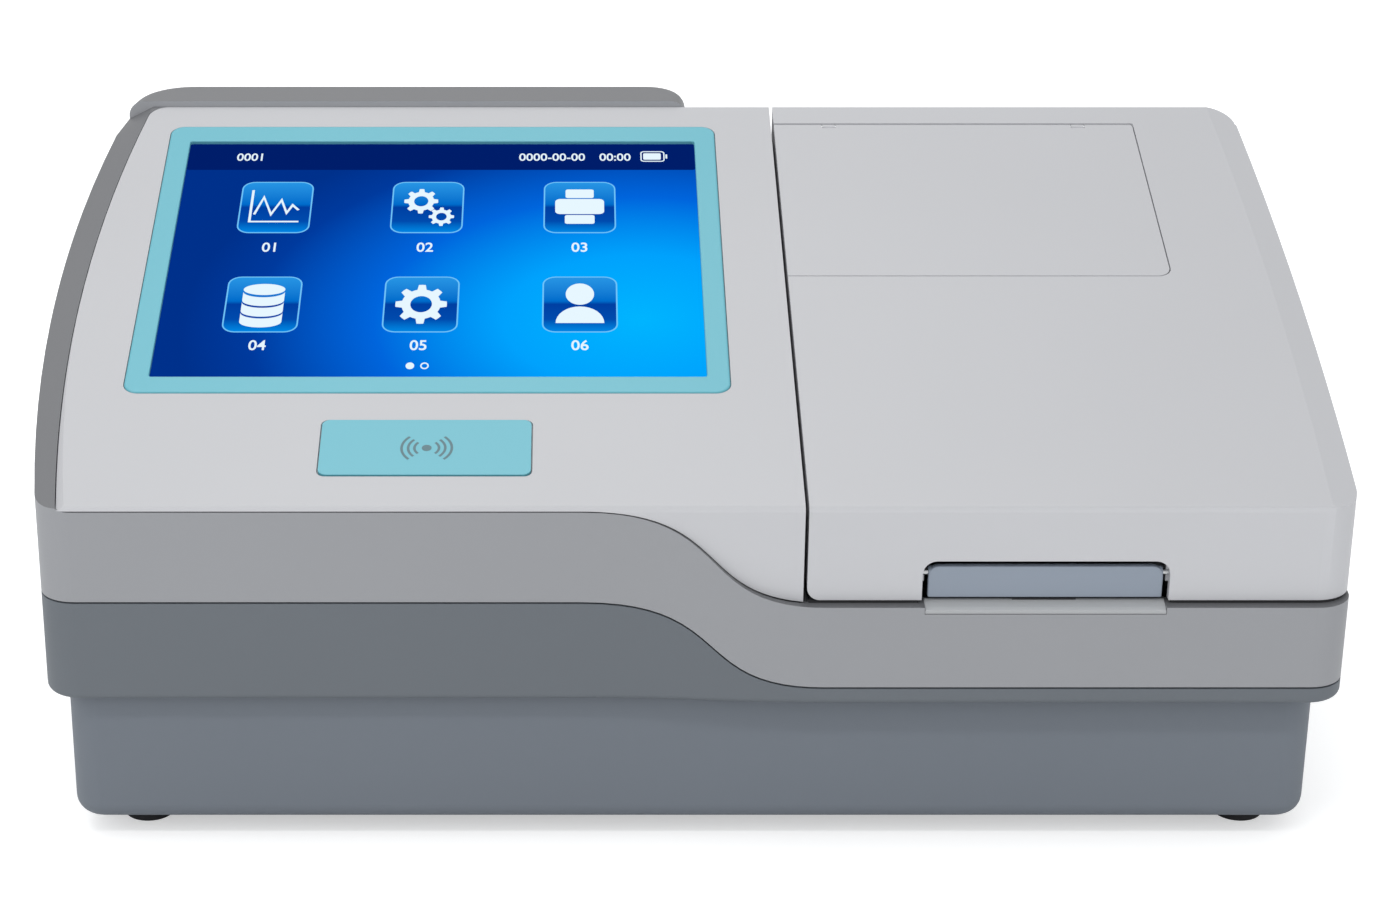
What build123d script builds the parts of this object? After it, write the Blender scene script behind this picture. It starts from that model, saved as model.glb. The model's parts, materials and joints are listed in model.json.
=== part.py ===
from build123d import *
from math import atan, cos, pi, radians, sin, sqrt, tan
import os

os.makedirs("parts", exist_ok=True)

# Millimetres. X runs to the right, Y to the back, Z up. The origin is on the bench, under the middle.

# Overall form
width = 465.0            # at the widest place of the bowed sides
depth = 280.0            # from the band's front at the right to the rear wall
front_step = 3.5         # how far the band stands forward at the right
front_z = 133.5          # height of the front edge of the top
slope = 15.5             # rise of the top towards the back, degrees
top_run = 258.8          # length of the top, measured up the slope
left_bow_radius = 710.0  # plan radius of the left side
left_bow_y = -21.0       # where the left side is widest
right_bow_radius = 2700.0
right_bow_y = -39.0
front_corner = 13.0      # plan radius of the front corners
rear_corner = 24.0
front_edge_radius = 2.5  # rounding between the top and the front
rim = 10.0               # width of the bevel along both sides of the top
rim_drop = 5.0           # how far that bevel falls
wall = 3.0               # wall of the mouldings
seam = 0.35              # fit between mouldings
band_seam = 0.7          # the dark line between the band and the skirt

# Levels
foot_height = 10.0
skirt_bottom = 60.0
skirt_top_left = 97.3
skirt_top_right = 66.2
band_top_left = 131.8
ledge_z = 97.5           # top of the ledge round the sample bay
ledge_thickness = 3.0
lid_gap = 1.3            # dark line under the lid
rear_deck_z = 178.0      # deck behind the lid
hood_z = 205.0           # top of the raised hood at the rear left
wave_start = -36.0       # where the S-shaped lines leave the left level
wave_end = 48.0          # where they reach the right level

# Lid, seam and bay
seam_x = 41.05           # middle of the gap between the cover and the lid
seam_width = 1.3
lid_wall = 3.5
lid_corner = 4.5         # rounding of the lid's lower left corner
bay_x = 136.0            # middle of the sample bay and of the optics
bay_half = 88.0          # half the width of the opening in the ledge
bay_front_y = -131.0
bay_rear_y = 108.0
rail_left_x = 34.0       # left edge of the ledge's left rail

# Tub
tub_half = 221.0
tub_depth_half = 129.5
tub_corner = 11.0
tub_round = 6.0

front_y = -depth / 2 + front_step
back_y = depth / 2
half_width = width / 2
rear_edge_y = front_y + top_run * cos(radians(slope))
lid_z = ledge_z + lid_gap
cover_right = seam_x - seam_width / 2
lid_left = seam_x + seam_width / 2
top_plane = Plane(
    origin=(0, front_y, front_z),
    x_dir=(1, 0, 0),
    z_dir=(0, -sin(radians(slope)), cos(radians(slope))),
)


def bow(y, radius, widest_y):
    """Distance from the middle plane to a bowed side at y."""
    return half_width - radius + sqrt(radius**2 - (y - widest_y) ** 2)


def left_side(y):
    return -bow(y, left_bow_radius, left_bow_y)


def right_side(y):
    return bow(y, right_bow_radius, right_bow_y)


def top_z(y):
    """Height of the sloping top at y."""
    return front_z + (y - front_y) * tan(radians(slope))


def block(x, y, z, mode=Mode.ADD):
    """A box between two limits in each direction."""
    with Locations(((x[0] + x[1]) / 2, (y[0] + y[1]) / 2, (z[0] + z[1]) / 2)):
        Box(x[1] - x[0], y[1] - y[0], z[1] - z[0], mode=mode)


def housing_plan(step, inset=0.0):
    """Outline of the housing from above, pulled in by inset; the right of the front stands forward by step."""
    low = front_y + inset
    high = back_y - inset
    front_left = (left_side(low) + inset, low)
    rear_left = (left_side(high) + inset, high)
    rear_right = (right_side(high) - inset, high)
    front_right = (right_side(low - step) - inset, low - step)
    with BuildSketch() as plan:
        with BuildLine():
            ThreePointArc(front_left, (-half_width + inset, left_bow_y), rear_left)
            Line(rear_left, rear_right)
            ThreePointArc(rear_right, (half_width - inset, right_bow_y), front_right)
            if step > 0:
                middle = (wave_start + wave_end) / 2
                Line(front_right, (wave_end, low - step))
                Bezier((wave_end, low - step), (middle, low - step), (middle, low), (wave_start, low))
                Line((wave_start, low), front_left)
            else:
                Line(front_right, front_left)
        make_face()
        fillet(plan.vertices().sort_by_distance(front_left)[0], front_corner - inset)
        fillet(plan.vertices().sort_by_distance(front_right)[0], front_corner - inset)
        fillet(plan.vertices().group_by(Axis.Y)[-1], rear_corner - inset)
    return plan.sketch


def crease_outline(inward):
    """Bowed outline on the top plane, its sides pulled in by inward; it runs past the front and the back."""
    runs = (-40.0, (left_bow_y - front_y) / cos(radians(slope)), top_run + 60.0)
    levels = [front_y + run * cos(radians(slope)) for run in runs]
    left = [(left_side(y) + inward, run) for y, run in zip(levels, runs)]
    right = [(right_side(y) - inward, run) for y, run in zip(levels, runs)]
    with BuildSketch() as outline:
        with BuildLine():
            ThreePointArc(*left)
            Line(left[2], right[2])
            ThreePointArc(right[2], right[1], right[0])
            Line(right[0], left[0])
        make_face()
    return outline.sketch


def housing_form(inset, step=0.0, front_round=0.0):
    """The wedge of the whole housing, pulled in by inset, with its sloping top and bevelled sides."""
    bevel_angle = atan(rim_drop / rim)
    inner_rim = rim + inset * tan(bevel_angle / 2)
    bevel_depth = 16.0
    spread = bevel_depth * rim / rim_drop
    with BuildPart() as flanks:
        with BuildSketch(top_plane.offset(-inset)):
            add(crease_outline(inner_rim))
        with BuildSketch(top_plane.offset(-inset - bevel_depth)):
            add(crease_outline(inner_rim - spread))
        loft(ruled=True)
        with BuildSketch(top_plane.offset(-inset - bevel_depth)):
            add(crease_outline(inner_rim - spread))
        extrude(amount=-300)
    with BuildPart() as form:
        with BuildSketch(Plane.XY.offset(skirt_bottom - 2 + inset)):
            add(housing_plan(step, inset))
        extrude(amount=200)
        front = front_y - step + (inset if step == 0 else -10)
        fall = inset / cos(radians(slope))
        with BuildSketch(Plane.YZ) as profile:
            with BuildLine():
                Polyline(
                    (front, 0),
                    (front, top_z(front) - fall),
                    (back_y + 30, top_z(back_y + 30) - fall),
                    (back_y + 30, 0),
                    close=True,
                )
            make_face()
            if front_round > 0:
                fillet(profile.vertices().sort_by_distance((front, top_z(front) - fall))[0], front_round)
        extrude(amount=width, both=True, mode=Mode.INTERSECT)
        add(flanks.part, mode=Mode.INTERSECT)
    return form.part


def above_wave(left_z, right_z):
    """Region above an S-shaped line seen from the front, run through the whole depth."""
    span = wave_end - wave_start
    with BuildPart() as region:
        with BuildSketch(Plane.XZ):
            with BuildLine():
                Line((-width, left_z), (wave_start, left_z))
                Bezier(
                    (wave_start, left_z),
                    (wave_start + 0.64 * span, left_z),
                    (wave_end - 0.56 * span, right_z),
                    (wave_end, right_z),
                )
                Polyline((wave_end, right_z), (width, right_z), (width, 400), (-width, 400), (-width, left_z))
            make_face()
        extrude(amount=depth, both=True)
    return region.part


def cover_region(inset):
    """Plan region of the light cover: a round front left corner, the crease of the rim, the seam, the rear edge."""
    far = rear_edge_y - inset
    start = (left_side(front_y) + rim + inset, front_y - 20)
    middle = (left_side(left_bow_y) + rim + inset, left_bow_y)
    end = (left_side(far) + rim + inset, far)
    with BuildSketch() as region:
        with BuildLine():
            ThreePointArc(start, middle, end)
            Polyline(end, (cover_right, far), (cover_right, front_y - 20), start)
        make_face()
        fillet(region.vertices().sort_by_distance(end)[0], 8)
    return region.sketch


# Forms shared by the mouldings
outer_form = housing_form(0, 0, front_edge_radius)
inner_form = housing_form(wall)
band_outer = housing_form(0, front_step)
band_inner = housing_form(wall, front_step)
lid_inner_form = housing_form(lid_wall)

# Base tub
tub_rear_window = (160.0, 17.0, 55.0)    # half width, bottom and top of the opening for the rear panel
standoff_points = [(-184, -94), (-184, 34), (-26, -94), (-26, 34)]
board_z = 19.0
panel_screw_x = 165.0
panel_screw_z = (23.0, 49.0)
with BuildPart() as base_tub:
    with BuildSketch(Plane.XY.offset(foot_height)):
        RectangleRounded(2 * tub_half, 2 * tub_depth_half, tub_corner)
    extrude(amount=skirt_bottom - foot_height)
    fillet(base_tub.faces().sort_by(Axis.Z)[0].edges(), tub_round)
    with BuildSketch(Plane.XY.offset(foot_height + wall)):
        RectangleRounded(2 * (tub_half - wall), 2 * (tub_depth_half - wall), tub_corner - wall)
    extrude(amount=skirt_bottom, mode=Mode.SUBTRACT)
    block(
        (-tub_rear_window[0], tub_rear_window[0]),
        (tub_depth_half - wall - 1, tub_depth_half + 1),
        (tub_rear_window[1], tub_rear_window[2]),
        mode=Mode.SUBTRACT,
    )
    with Locations(*[(x, y, foot_height + wall) for x, y in standoff_points]):
        Cylinder(3.5, board_z - foot_height - wall, align=(Align.CENTER, Align.CENTER, Align.MIN))
    with Locations(*[Plane.XZ.offset(-tub_depth_half) * Location((x, z, 0))
                     for x in (-panel_screw_x, panel_screw_x) for z in panel_screw_z]):
        Hole(1.7, depth=wall + 1)
base_tub.part.label = "base_tub"
export_step(base_tub.part, "parts/base_tub.step")

# Lower skirt: a band on the tub's rim, with the S-shaped top line and an inward flange
skirt_edge_radius = 2.5
flange_overlap = 6.0
with BuildPart() as lower_skirt:
    with BuildSketch(Plane.XY.offset(skirt_bottom)):
        add(housing_plan(front_step))
    extrude(amount=skirt_top_left + 2 - skirt_bottom)
    fillet(lower_skirt.faces().sort_by(Axis.Z)[0].edges(), skirt_edge_radius)
    with BuildSketch(Plane.XY.offset(skirt_bottom + wall)):
        add(housing_plan(front_step, wall))
    extrude(amount=60, mode=Mode.SUBTRACT)
    with BuildSketch(Plane.XY.offset(skirt_bottom - 1)):
        RectangleRounded(2 * (tub_half - flange_overlap), 2 * (tub_depth_half - flange_overlap), tub_corner)
    extrude(amount=60, mode=Mode.SUBTRACT)
    add(above_wave(skirt_top_left, skirt_top_right), mode=Mode.SUBTRACT)
lower_skirt.part.label = "lower_skirt"
export_step(lower_skirt.part, "parts/lower_skirt.step")

# Upper shell: band, left rim, rear hood at the left, rear deck at the right and the ledge round the bay
hood_right = 6.6
hood_corner = 16.0
hood_edge_radius = 6.0
shell_split_y = rear_edge_y + seam
gasket_inset = 0.6
scoop_drop = 2.5
latch_x = 124.0
notch_width = 83.5
with BuildPart() as hood_outer:
    with BuildSketch(Plane.XY.offset(skirt_bottom)) as hood_plan:
        add(housing_plan(0))
        with Locations((hood_right - width / 2, (shell_split_y + back_y + 20) / 2)):
            Rectangle(width, back_y + 20 - shell_split_y, mode=Mode.INTERSECT)
        fillet(hood_plan.vertices().sort_by_distance((hood_right, back_y))[0], hood_corner)
    extrude(amount=hood_z - skirt_bottom)
    top_edges = hood_outer.faces().sort_by(Axis.Z)[-1].edges()
    fillet(top_edges.sort_by(Axis.Y)[1:], hood_edge_radius)
with BuildPart() as hood_inner:
    with BuildSketch(Plane.XY.offset(skirt_bottom)):
        add(housing_plan(0, wall))
        with Locations((hood_right - wall - width / 2, shell_split_y + wall + depth / 2)):
            Rectangle(width, depth, mode=Mode.INTERSECT)
    extrude(amount=hood_z - wall - skirt_bottom)
with BuildPart() as band_void:
    add(band_inner)
    block((-width, width), (rear_edge_y - wall, depth), (rear_deck_z - wall, 300), mode=Mode.SUBTRACT)
    add(hood_inner.part)
with BuildPart() as cover_space:
    with BuildSketch(Plane.XY):
        add(cover_region(-seam))
        with Locations(((cover_right + width) / 2, (front_y - 30 + shell_split_y) / 2)):
            Rectangle(width - cover_right + 20, shell_split_y - front_y + 30)
        with Locations((0, front_y - 10)):
            Rectangle(2 * (-left_side(front_y) - rim - front_corner), 20 + 2 * wall)
    extrude(amount=300)
    add(above_wave(band_top_left, ledge_z), mode=Mode.INTERSECT)
with BuildPart() as bay_ledge:
    with BuildSketch(Plane.XY.offset(ledge_z - ledge_thickness)):
        add(housing_plan(front_step, wall / 2))
        with Locations((rail_left_x + width / 2, (shell_split_y + wall) / 2 - depth / 2)):
            Rectangle(width, shell_split_y + wall + depth, mode=Mode.INTERSECT)
        with Locations((bay_x, (bay_front_y + bay_rear_y) / 2)):
            RectangleRounded(2 * bay_half, bay_rear_y - bay_front_y, 6, mode=Mode.SUBTRACT)
    extrude(amount=ledge_thickness)
with BuildPart() as upper_shell:
    add(band_outer)
    block((-width, width), (shell_split_y, depth), (rear_deck_z, 300), mode=Mode.SUBTRACT)
    add(hood_outer.part)
    add(band_void.part, mode=Mode.SUBTRACT)
    with BuildSketch(Plane.XY.offset(ledge_z - ledge_thickness)):
        add(housing_plan(front_step, wall / 2))
        with Locations(((rail_left_x + width) / 2, shell_split_y + wall / 2)):
            Rectangle(width - rail_left_x, wall, mode=Mode.INTERSECT)
    extrude(amount=rear_deck_z - wall - ledge_z + ledge_thickness + 1)
    add(cover_space.part, mode=Mode.SUBTRACT)
    add(bay_ledge.part)
    with BuildPart(mode=Mode.PRIVATE) as below_band:
        block((-width, width), (-depth, depth), (0, 400))
        add(above_wave(skirt_top_left + band_seam, skirt_top_right + band_seam), mode=Mode.SUBTRACT)
    add(below_band.part, mode=Mode.SUBTRACT)
    with BuildSketch(Plane.YZ.offset(latch_x)):
        with BuildLine():
            Polyline(
                (-depth / 2 - 1, ledge_z - scoop_drop),
                (-depth / 2 + front_step, ledge_z - scoop_drop),
                (-depth / 2 + 2 * front_step, ledge_z + 1),
                (-depth / 2 - 1, ledge_z + 1),
                close=True,
            )
        make_face()
    extrude(amount=notch_width / 2, both=True, mode=Mode.SUBTRACT)
upper_shell.part.label = "upper_shell"
export_step(upper_shell.part, "parts/upper_shell.step")

# Top cover: the light moulding at the left, with its flange down the front and a wall along the seam
bezel_x = -91.5
bezel_run = 154.45
bezel_width = 218.0
bezel_height = 178.3
bezel_corner = 5.5
bezel_flange = 2.0
bezel_proud = 0.4
bezel_land = 2.2          # how far the flange overlaps the cover round its hole
fit = 0.2
pad_x = -90.7
pad_run = 33.5
pad_width = 74.5
pad_height = 31.8
pad_corner = 3.0
pad_recess = 1.5
with BuildPart() as cover_edges:
    with BuildSketch(Plane.XY.offset(ledge_z + seam)):
        with Locations(((hood_right + cover_right) / 2, rear_edge_y - wall / 2)):
            Rectangle(cover_right - hood_right, wall)
        with Locations((cover_right - wall / 2, (front_y + rear_edge_y) / 2)):
            Rectangle(wall, rear_edge_y - front_y)
    extrude(amount=200)
    block((hood_right - 1, cover_right - wall), (0, depth), (0, rear_deck_z + seam), mode=Mode.SUBTRACT)
    add(outer_form, mode=Mode.INTERSECT)
with BuildPart() as top_cover:
    add(outer_form)
    add(inner_form, mode=Mode.SUBTRACT)
    with BuildSketch(Plane.XY):
        add(cover_region(0))
    extrude(amount=300, mode=Mode.INTERSECT)
    add(cover_edges.part)
    add(above_wave(band_top_left + seam, ledge_z + seam), mode=Mode.INTERSECT)
    with BuildSketch(top_plane.offset(1)):
        with Locations((bezel_x, bezel_run)):
            RectangleRounded(bezel_width + 2 * fit, bezel_height + 2 * fit, bezel_corner + fit)
    extrude(amount=-1 - bezel_flange + bezel_proud, mode=Mode.SUBTRACT)
    with BuildSketch(top_plane.offset(1)):
        with Locations((bezel_x, bezel_run)):
            RectangleRounded(bezel_width - 2 * bezel_land, bezel_height - 2 * bezel_land, bezel_corner)
    extrude(amount=-12, mode=Mode.SUBTRACT)
    with BuildSketch(top_plane.offset(1)):
        with Locations((pad_x, pad_run)):
            RectangleRounded(pad_width + 2 * fit, pad_height + 2 * fit, pad_corner)
    extrude(amount=-1 - pad_recess, mode=Mode.SUBTRACT)
top_cover.part.label = "top_cover"
export_step(top_cover.part, "parts/top_cover.step")

# Lid: the wedge over the sample bay, with the notch for the latch paddle and a rebate for the hatch
notch_height = 13.7
notch_corner = 5.5
hatch_right = 186.0
hatch_low_run = 139.0
hatch_high_run = 246.0
hatch_thickness = 2.0
hatch_gap = 0.5
hatch_bed = 0.3           # clearance under the hatch in its rebate
hatch_corner = 5.0
hatch_rear_corner = 2.5   # smaller at the back, so that the hatch clears its rebate as it swings up
rebate_rear_corner = 0.6
hatch_land = 8.0
lid_rear_lip_z = 181.0
rib_height = 5.0
rib_width = 1.8
rib_x = (76.0, 108.0, 140.0, 172.0, 204.0)
rib_start = 14.0          # ribs run from this far behind the front
rib_end = 125.0
pin_fit = 0.02            # radial clearance of a fixed pin
run_fit = 0.05            # radial clearance of a running one
hatch_axis_run = hatch_high_run - hatch_thickness / 2
hatch_axis_depth = hatch_thickness / 2
hatch_pin_radius = 0.6
hatch_pin_length = 16.0
hatch_knuckle = 5.0
hatch_pin_x = (lid_left + 22, hatch_right - 22)
hatch_pivot = top_plane.from_local_coords((0, hatch_axis_run, -hatch_axis_depth))
hatch_axis_plane = Plane(origin=(0, hatch_pivot.Y, hatch_pivot.Z), x_dir=top_plane.y_dir, z_dir=(1, 0, 0))
paddle_side_gap = 1.3
paddle_recess = 1.3
paddle_thickness = 3.0
barrel_radius = 2.6
latch_pin_radius = 1.0
paddle_bottom_z = lid_z + 0.4
latch_axis_y = front_y + paddle_recess + barrel_radius - 0.3
latch_axis_z = lid_z + notch_height - 1.9 - barrel_radius
paddle_half = notch_width / 2 - paddle_side_gap
boss_width = 6.0
boss_reach = 3.5
with BuildPart() as lid_outer:
    add(outer_form)
    block((lid_left, width), (-depth, rear_edge_y), (lid_z, 300), mode=Mode.INTERSECT)
    corner_edge = lid_outer.edges().filter_by(Axis.Y).group_by(Axis.Z)[0].sort_by(Axis.X)[0]
    fillet(corner_edge, lid_corner)
with BuildPart() as lid_void:
    add(lid_inner_form)
    block((lid_left + lid_wall, width), (-depth, rear_edge_y - lid_wall), (0, 300), mode=Mode.INTERSECT)
    for x in rib_x:
        block(
            (x - rib_width / 2, x + rib_width / 2), (front_y + rib_start, front_y + rib_end), (0, 300), mode=Mode.SUBTRACT
        )
with BuildPart() as lid_void_below_ribs:
    add(housing_form(lid_wall + rib_height))
    block((lid_left + lid_wall, width), (-depth, rear_edge_y - lid_wall), (0, 300), mode=Mode.INTERSECT)
with BuildPart() as lid_shell:
    add(lid_outer.part)
    add(lid_void.part, mode=Mode.SUBTRACT)
    add(lid_void_below_ribs.part, mode=Mode.SUBTRACT)
    block(
        (lid_left + lid_wall, right_side(0) - lid_wall),
        (rear_edge_y - lid_wall - 1, depth),
        (0, lid_rear_lip_z),
        mode=Mode.SUBTRACT,
    )
    with BuildSketch(Plane.XZ.offset(-front_y - 10)) as notch:
        with Locations((latch_x, lid_z - 10 + (notch_height + 10) / 2)):
            Rectangle(notch_width, notch_height + 10)
        fillet(notch.vertices().group_by(Axis.Y)[-1], notch_corner)
    extrude(amount=20, mode=Mode.SUBTRACT)
    hatch_width = hatch_right - lid_left
    hatch_height = hatch_high_run - hatch_low_run
    with BuildSketch(top_plane.offset(1)) as hatch_rebate:
        with Locations((lid_left + hatch_width / 2 - 5, (hatch_low_run + hatch_high_run) / 2)):
            Rectangle(hatch_width + 10 + 2 * hatch_gap, hatch_height + 2 * hatch_gap)
        fillet(hatch_rebate.vertices().group_by(Axis.X)[-1].sort_by(Axis.Y)[0], hatch_corner + hatch_gap)
        fillet(hatch_rebate.vertices().group_by(Axis.X)[-1].sort_by(Axis.Y)[-1], rebate_rear_corner)
    extrude(amount=-1 - hatch_thickness - hatch_bed, mode=Mode.SUBTRACT)
    with BuildSketch(top_plane.offset(1)):
        with Locations((lid_left + hatch_width / 2, (hatch_low_run + hatch_high_run) / 2)):
            RectangleRounded(hatch_width - 2 * hatch_land, hatch_height - 2 * hatch_land, 4)
    extrude(amount=-12, mode=Mode.SUBTRACT)
    for x in hatch_pin_x:
        with BuildSketch(hatch_axis_plane.offset(x - hatch_knuckle / 2)):
            Circle(hatch_axis_depth)
            with Locations((0, -hatch_axis_depth)):
                Rectangle(2 * hatch_axis_depth, 2 * hatch_axis_depth)
            Circle(hatch_pin_radius + pin_fit, mode=Mode.SUBTRACT)
        extrude(amount=hatch_knuckle)
    for side in (-1, 1):
        edge = latch_x + side * notch_width / 2
        block(
            (min(edge, edge + side * boss_width), max(edge, edge + side * boss_width)),
            (front_y + 1, latch_axis_y + boss_reach),
            (latch_axis_z - boss_reach, latch_axis_z + boss_reach),
        )
        with BuildSketch(Plane.YZ.offset(latch_x)):
            with Locations((latch_axis_y, latch_axis_z)):
                Circle(latch_pin_radius + pin_fit)
        extrude(amount=side * (notch_width / 2 + boss_width - 1), mode=Mode.SUBTRACT)
lid_shell.part.label = "lid_shell"
export_step(lid_shell.part, "parts/lid_shell.step")

# Display: a teal bezel dropped into the cover, touch glass, module and board behind it, all on the top's slope
screen_x = -91.4
screen_run = 153.65
screen_width = 201.2
screen_height = 157.5
screen_recess = 2.9       # from the bezel's face down to the glass
glass_width = 205.4
glass_height = 161.6
glass_thickness = 1.8
module_thickness = 6.0
bezel_skirt = 11.0        # how deep the bezel's inner walls reach
screen_board_gap = 4.0
bezel_top = bezel_proud
glass_top = bezel_top - screen_recess
module_top = glass_top - glass_thickness
board_top = module_top - module_thickness - screen_board_gap
with BuildPart() as display_bezel:
    with BuildSketch(top_plane.offset(bezel_top)):
        with Locations((bezel_x, bezel_run)):
            RectangleRounded(bezel_width, bezel_height, bezel_corner)
    extrude(amount=-bezel_flange)
    with BuildSketch(top_plane.offset(bezel_top)):
        with Locations((bezel_x, bezel_run)):
            RectangleRounded(
                bezel_width - 2 * bezel_land - 2 * fit, bezel_height - 2 * bezel_land - 2 * fit, bezel_corner - fit
            )
    extrude(amount=-bezel_skirt)
    with BuildSketch(top_plane.offset(bezel_top + 1)):
        with Locations((screen_x, screen_run)):
            RectangleRounded(screen_width, screen_height, 1.0)
    extrude(amount=-bezel_skirt - 2, mode=Mode.SUBTRACT)
    with BuildSketch(top_plane.offset(glass_top)):
        with Locations((screen_x, screen_run)):
            Rectangle(glass_width + 2 * fit, glass_height + 2 * fit)
    extrude(amount=-bezel_skirt, mode=Mode.SUBTRACT)
    outer_rim = display_bezel.faces().filter_by(GeomType.PLANE).sort_by(Axis((0, 0, 0), top_plane.z_dir))[-1]
    fillet(outer_rim.outer_wire().edges(), 0.8)
display_bezel.part.label = "display_bezel"
export_step(display_bezel.part, "parts/display_bezel.step")

with BuildPart() as display_glass:
    with BuildSketch(top_plane.offset(glass_top)):
        with Locations((screen_x, screen_run)):
            Rectangle(glass_width, glass_height)
    extrude(amount=-glass_thickness)
display_glass.part.label = "display_glass"
export_step(display_glass.part, "parts/display_glass.step")

board_posts = [(screen_x + x, screen_run + run) for x in (-60, 60) for run in (-36, 36)]
with BuildPart() as display_module:
    with BuildSketch(top_plane.offset(module_top)):
        with Locations((screen_x, screen_run)):
            Rectangle(glass_width, glass_height)
    extrude(amount=-module_thickness)
    with BuildSketch(top_plane.offset(module_top - module_thickness)):
        with Locations(*board_posts):
            Circle(3)
    extrude(amount=-screen_board_gap)
display_module.part.label = "display_module"
export_step(display_module.part, "parts/display_module.step")

with BuildPart() as display_board:
    with BuildSketch(top_plane.offset(board_top)):
        with Locations((screen_x, screen_run)):
            Rectangle(136, 88)
    extrude(amount=-1.6)
    with BuildSketch(top_plane.offset(board_top - 1.6)):
        with Locations((screen_x - 30, screen_run), (screen_x + 24, screen_run + 14)):
            Rectangle(18, 18)
        with Locations((screen_x + 10, screen_run - 36)):
            Rectangle(44, 6)
    extrude(amount=-2.5)
display_board.part.label = "display_board"
export_step(display_board.part, "parts/display_board.step")

# Contactless reader: a teal pad let into the cover and its antenna board under the cover's skin
pad_thickness = 1.9
with BuildPart() as contactless_pad:
    with BuildSketch(top_plane.offset(-pad_recess)):
        with Locations((pad_x, pad_run)):
            RectangleRounded(pad_width - 0.6, pad_height - 0.6, pad_corner)
    extrude(amount=pad_thickness)
contactless_pad.part.label = "contactless_pad"
export_step(contactless_pad.part, "parts/contactless_pad.step")

with BuildPart() as antenna_board:
    with BuildSketch(top_plane.offset(-wall)):
        with Locations((pad_x, pad_run)):
            RectangleRounded(pad_width - 8, pad_height - 6, 2)
    extrude(amount=-1.2)
antenna_board.part.label = "antenna_board"
export_step(antenna_board.part, "parts/antenna_board.step")

# Service hatch: a thin plate in the lid's rebate, turning on two pins in its rounded rear edge
with BuildPart() as lid_hatch:
    with BuildSketch(top_plane):
        with BuildLine():
            Polyline(
                (lid_left, hatch_low_run),
                (hatch_right, hatch_low_run),
                (hatch_right, hatch_axis_run),
                (lid_left, hatch_axis_run),
                close=True,
            )
        make_face()
    extrude(amount=-hatch_thickness)
    with BuildSketch(hatch_axis_plane.offset(lid_left)):
        Circle(hatch_axis_depth)
    extrude(amount=hatch_right - lid_left)
    with BuildSketch(top_plane.offset(1)) as hatch_outline:
        with Locations(((lid_left + hatch_right) / 2, (hatch_low_run + hatch_high_run) / 2)):
            Rectangle(hatch_right - lid_left, hatch_high_run - hatch_low_run)
        fillet(hatch_outline.vertices().group_by(Axis.X)[-1].sort_by(Axis.Y)[0], hatch_corner)
        fillet(hatch_outline.vertices().group_by(Axis.X)[-1].sort_by(Axis.Y)[-1], hatch_rear_corner)
    extrude(amount=-1 - 2 * hatch_thickness, mode=Mode.INTERSECT)
    for x in hatch_pin_x:
        with BuildSketch(top_plane.offset(1)):
            with Locations((x, hatch_axis_run)):
                Rectangle(hatch_knuckle + 0.6, 4 * hatch_axis_depth)
        extrude(amount=-1 - 2 * hatch_thickness, mode=Mode.SUBTRACT)
        with BuildSketch(hatch_axis_plane.offset(x - hatch_pin_length / 2 - 0.5)):
            Circle(hatch_pin_radius + run_fit)
        extrude(amount=hatch_pin_length + 1, mode=Mode.SUBTRACT)
lid_hatch.part.label = "lid_hatch"
export_step(lid_hatch.part, "parts/lid_hatch.step")

with BuildPart() as hatch_pins:
    for x in hatch_pin_x:
        with BuildSketch(hatch_axis_plane.offset(x - hatch_pin_length / 2)):
            Circle(hatch_pin_radius)
        extrude(amount=hatch_pin_length)
hatch_pins.part.label = "hatch_pins"
export_step(hatch_pins.part, "parts/hatch_pins.step")

# Latch paddle: a plate in the lid's notch, hung on a pin in its thick rounded top
with BuildPart() as latch_paddle:
    with BuildSketch(Plane.YZ.offset(latch_x - paddle_half)):
        with Locations((latch_axis_y, latch_axis_z)):
            Circle(barrel_radius)
        with Locations((front_y + paddle_recess + paddle_thickness / 2, (paddle_bottom_z + latch_axis_z) / 2)):
            Rectangle(paddle_thickness, latch_axis_z - paddle_bottom_z)
    extrude(amount=2 * paddle_half)
    with BuildSketch(Plane.YZ.offset(latch_x - paddle_half)):
        with Locations((latch_axis_y, latch_axis_z)):
            Circle(latch_pin_radius + run_fit)
    extrude(amount=2 * paddle_half, mode=Mode.SUBTRACT)
latch_paddle.part.label = "latch_paddle"
export_step(latch_paddle.part, "parts/latch_paddle.step")

with BuildPart() as latch_pin:
    with BuildSketch(Plane.YZ.offset(latch_x - notch_width / 2 - boss_width + 1)):
        with Locations((latch_axis_y, latch_axis_z)):
            Circle(latch_pin_radius)
    extrude(amount=notch_width + 2 * boss_width - 2)
latch_pin.part.label = "latch_pin"
export_step(latch_pin.part, "parts/latch_pin.step")

with BuildPart() as latch_keeper:
    with BuildSketch(Plane.XY.offset(ledge_z)):
        with Locations((latch_x, bay_front_y - 1.6)):
            Rectangle(22, 3)
    extrude(amount=0.9)
latch_keeper.part.label = "latch_keeper"
export_step(latch_keeper.part, "parts/latch_keeper.step")

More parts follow.
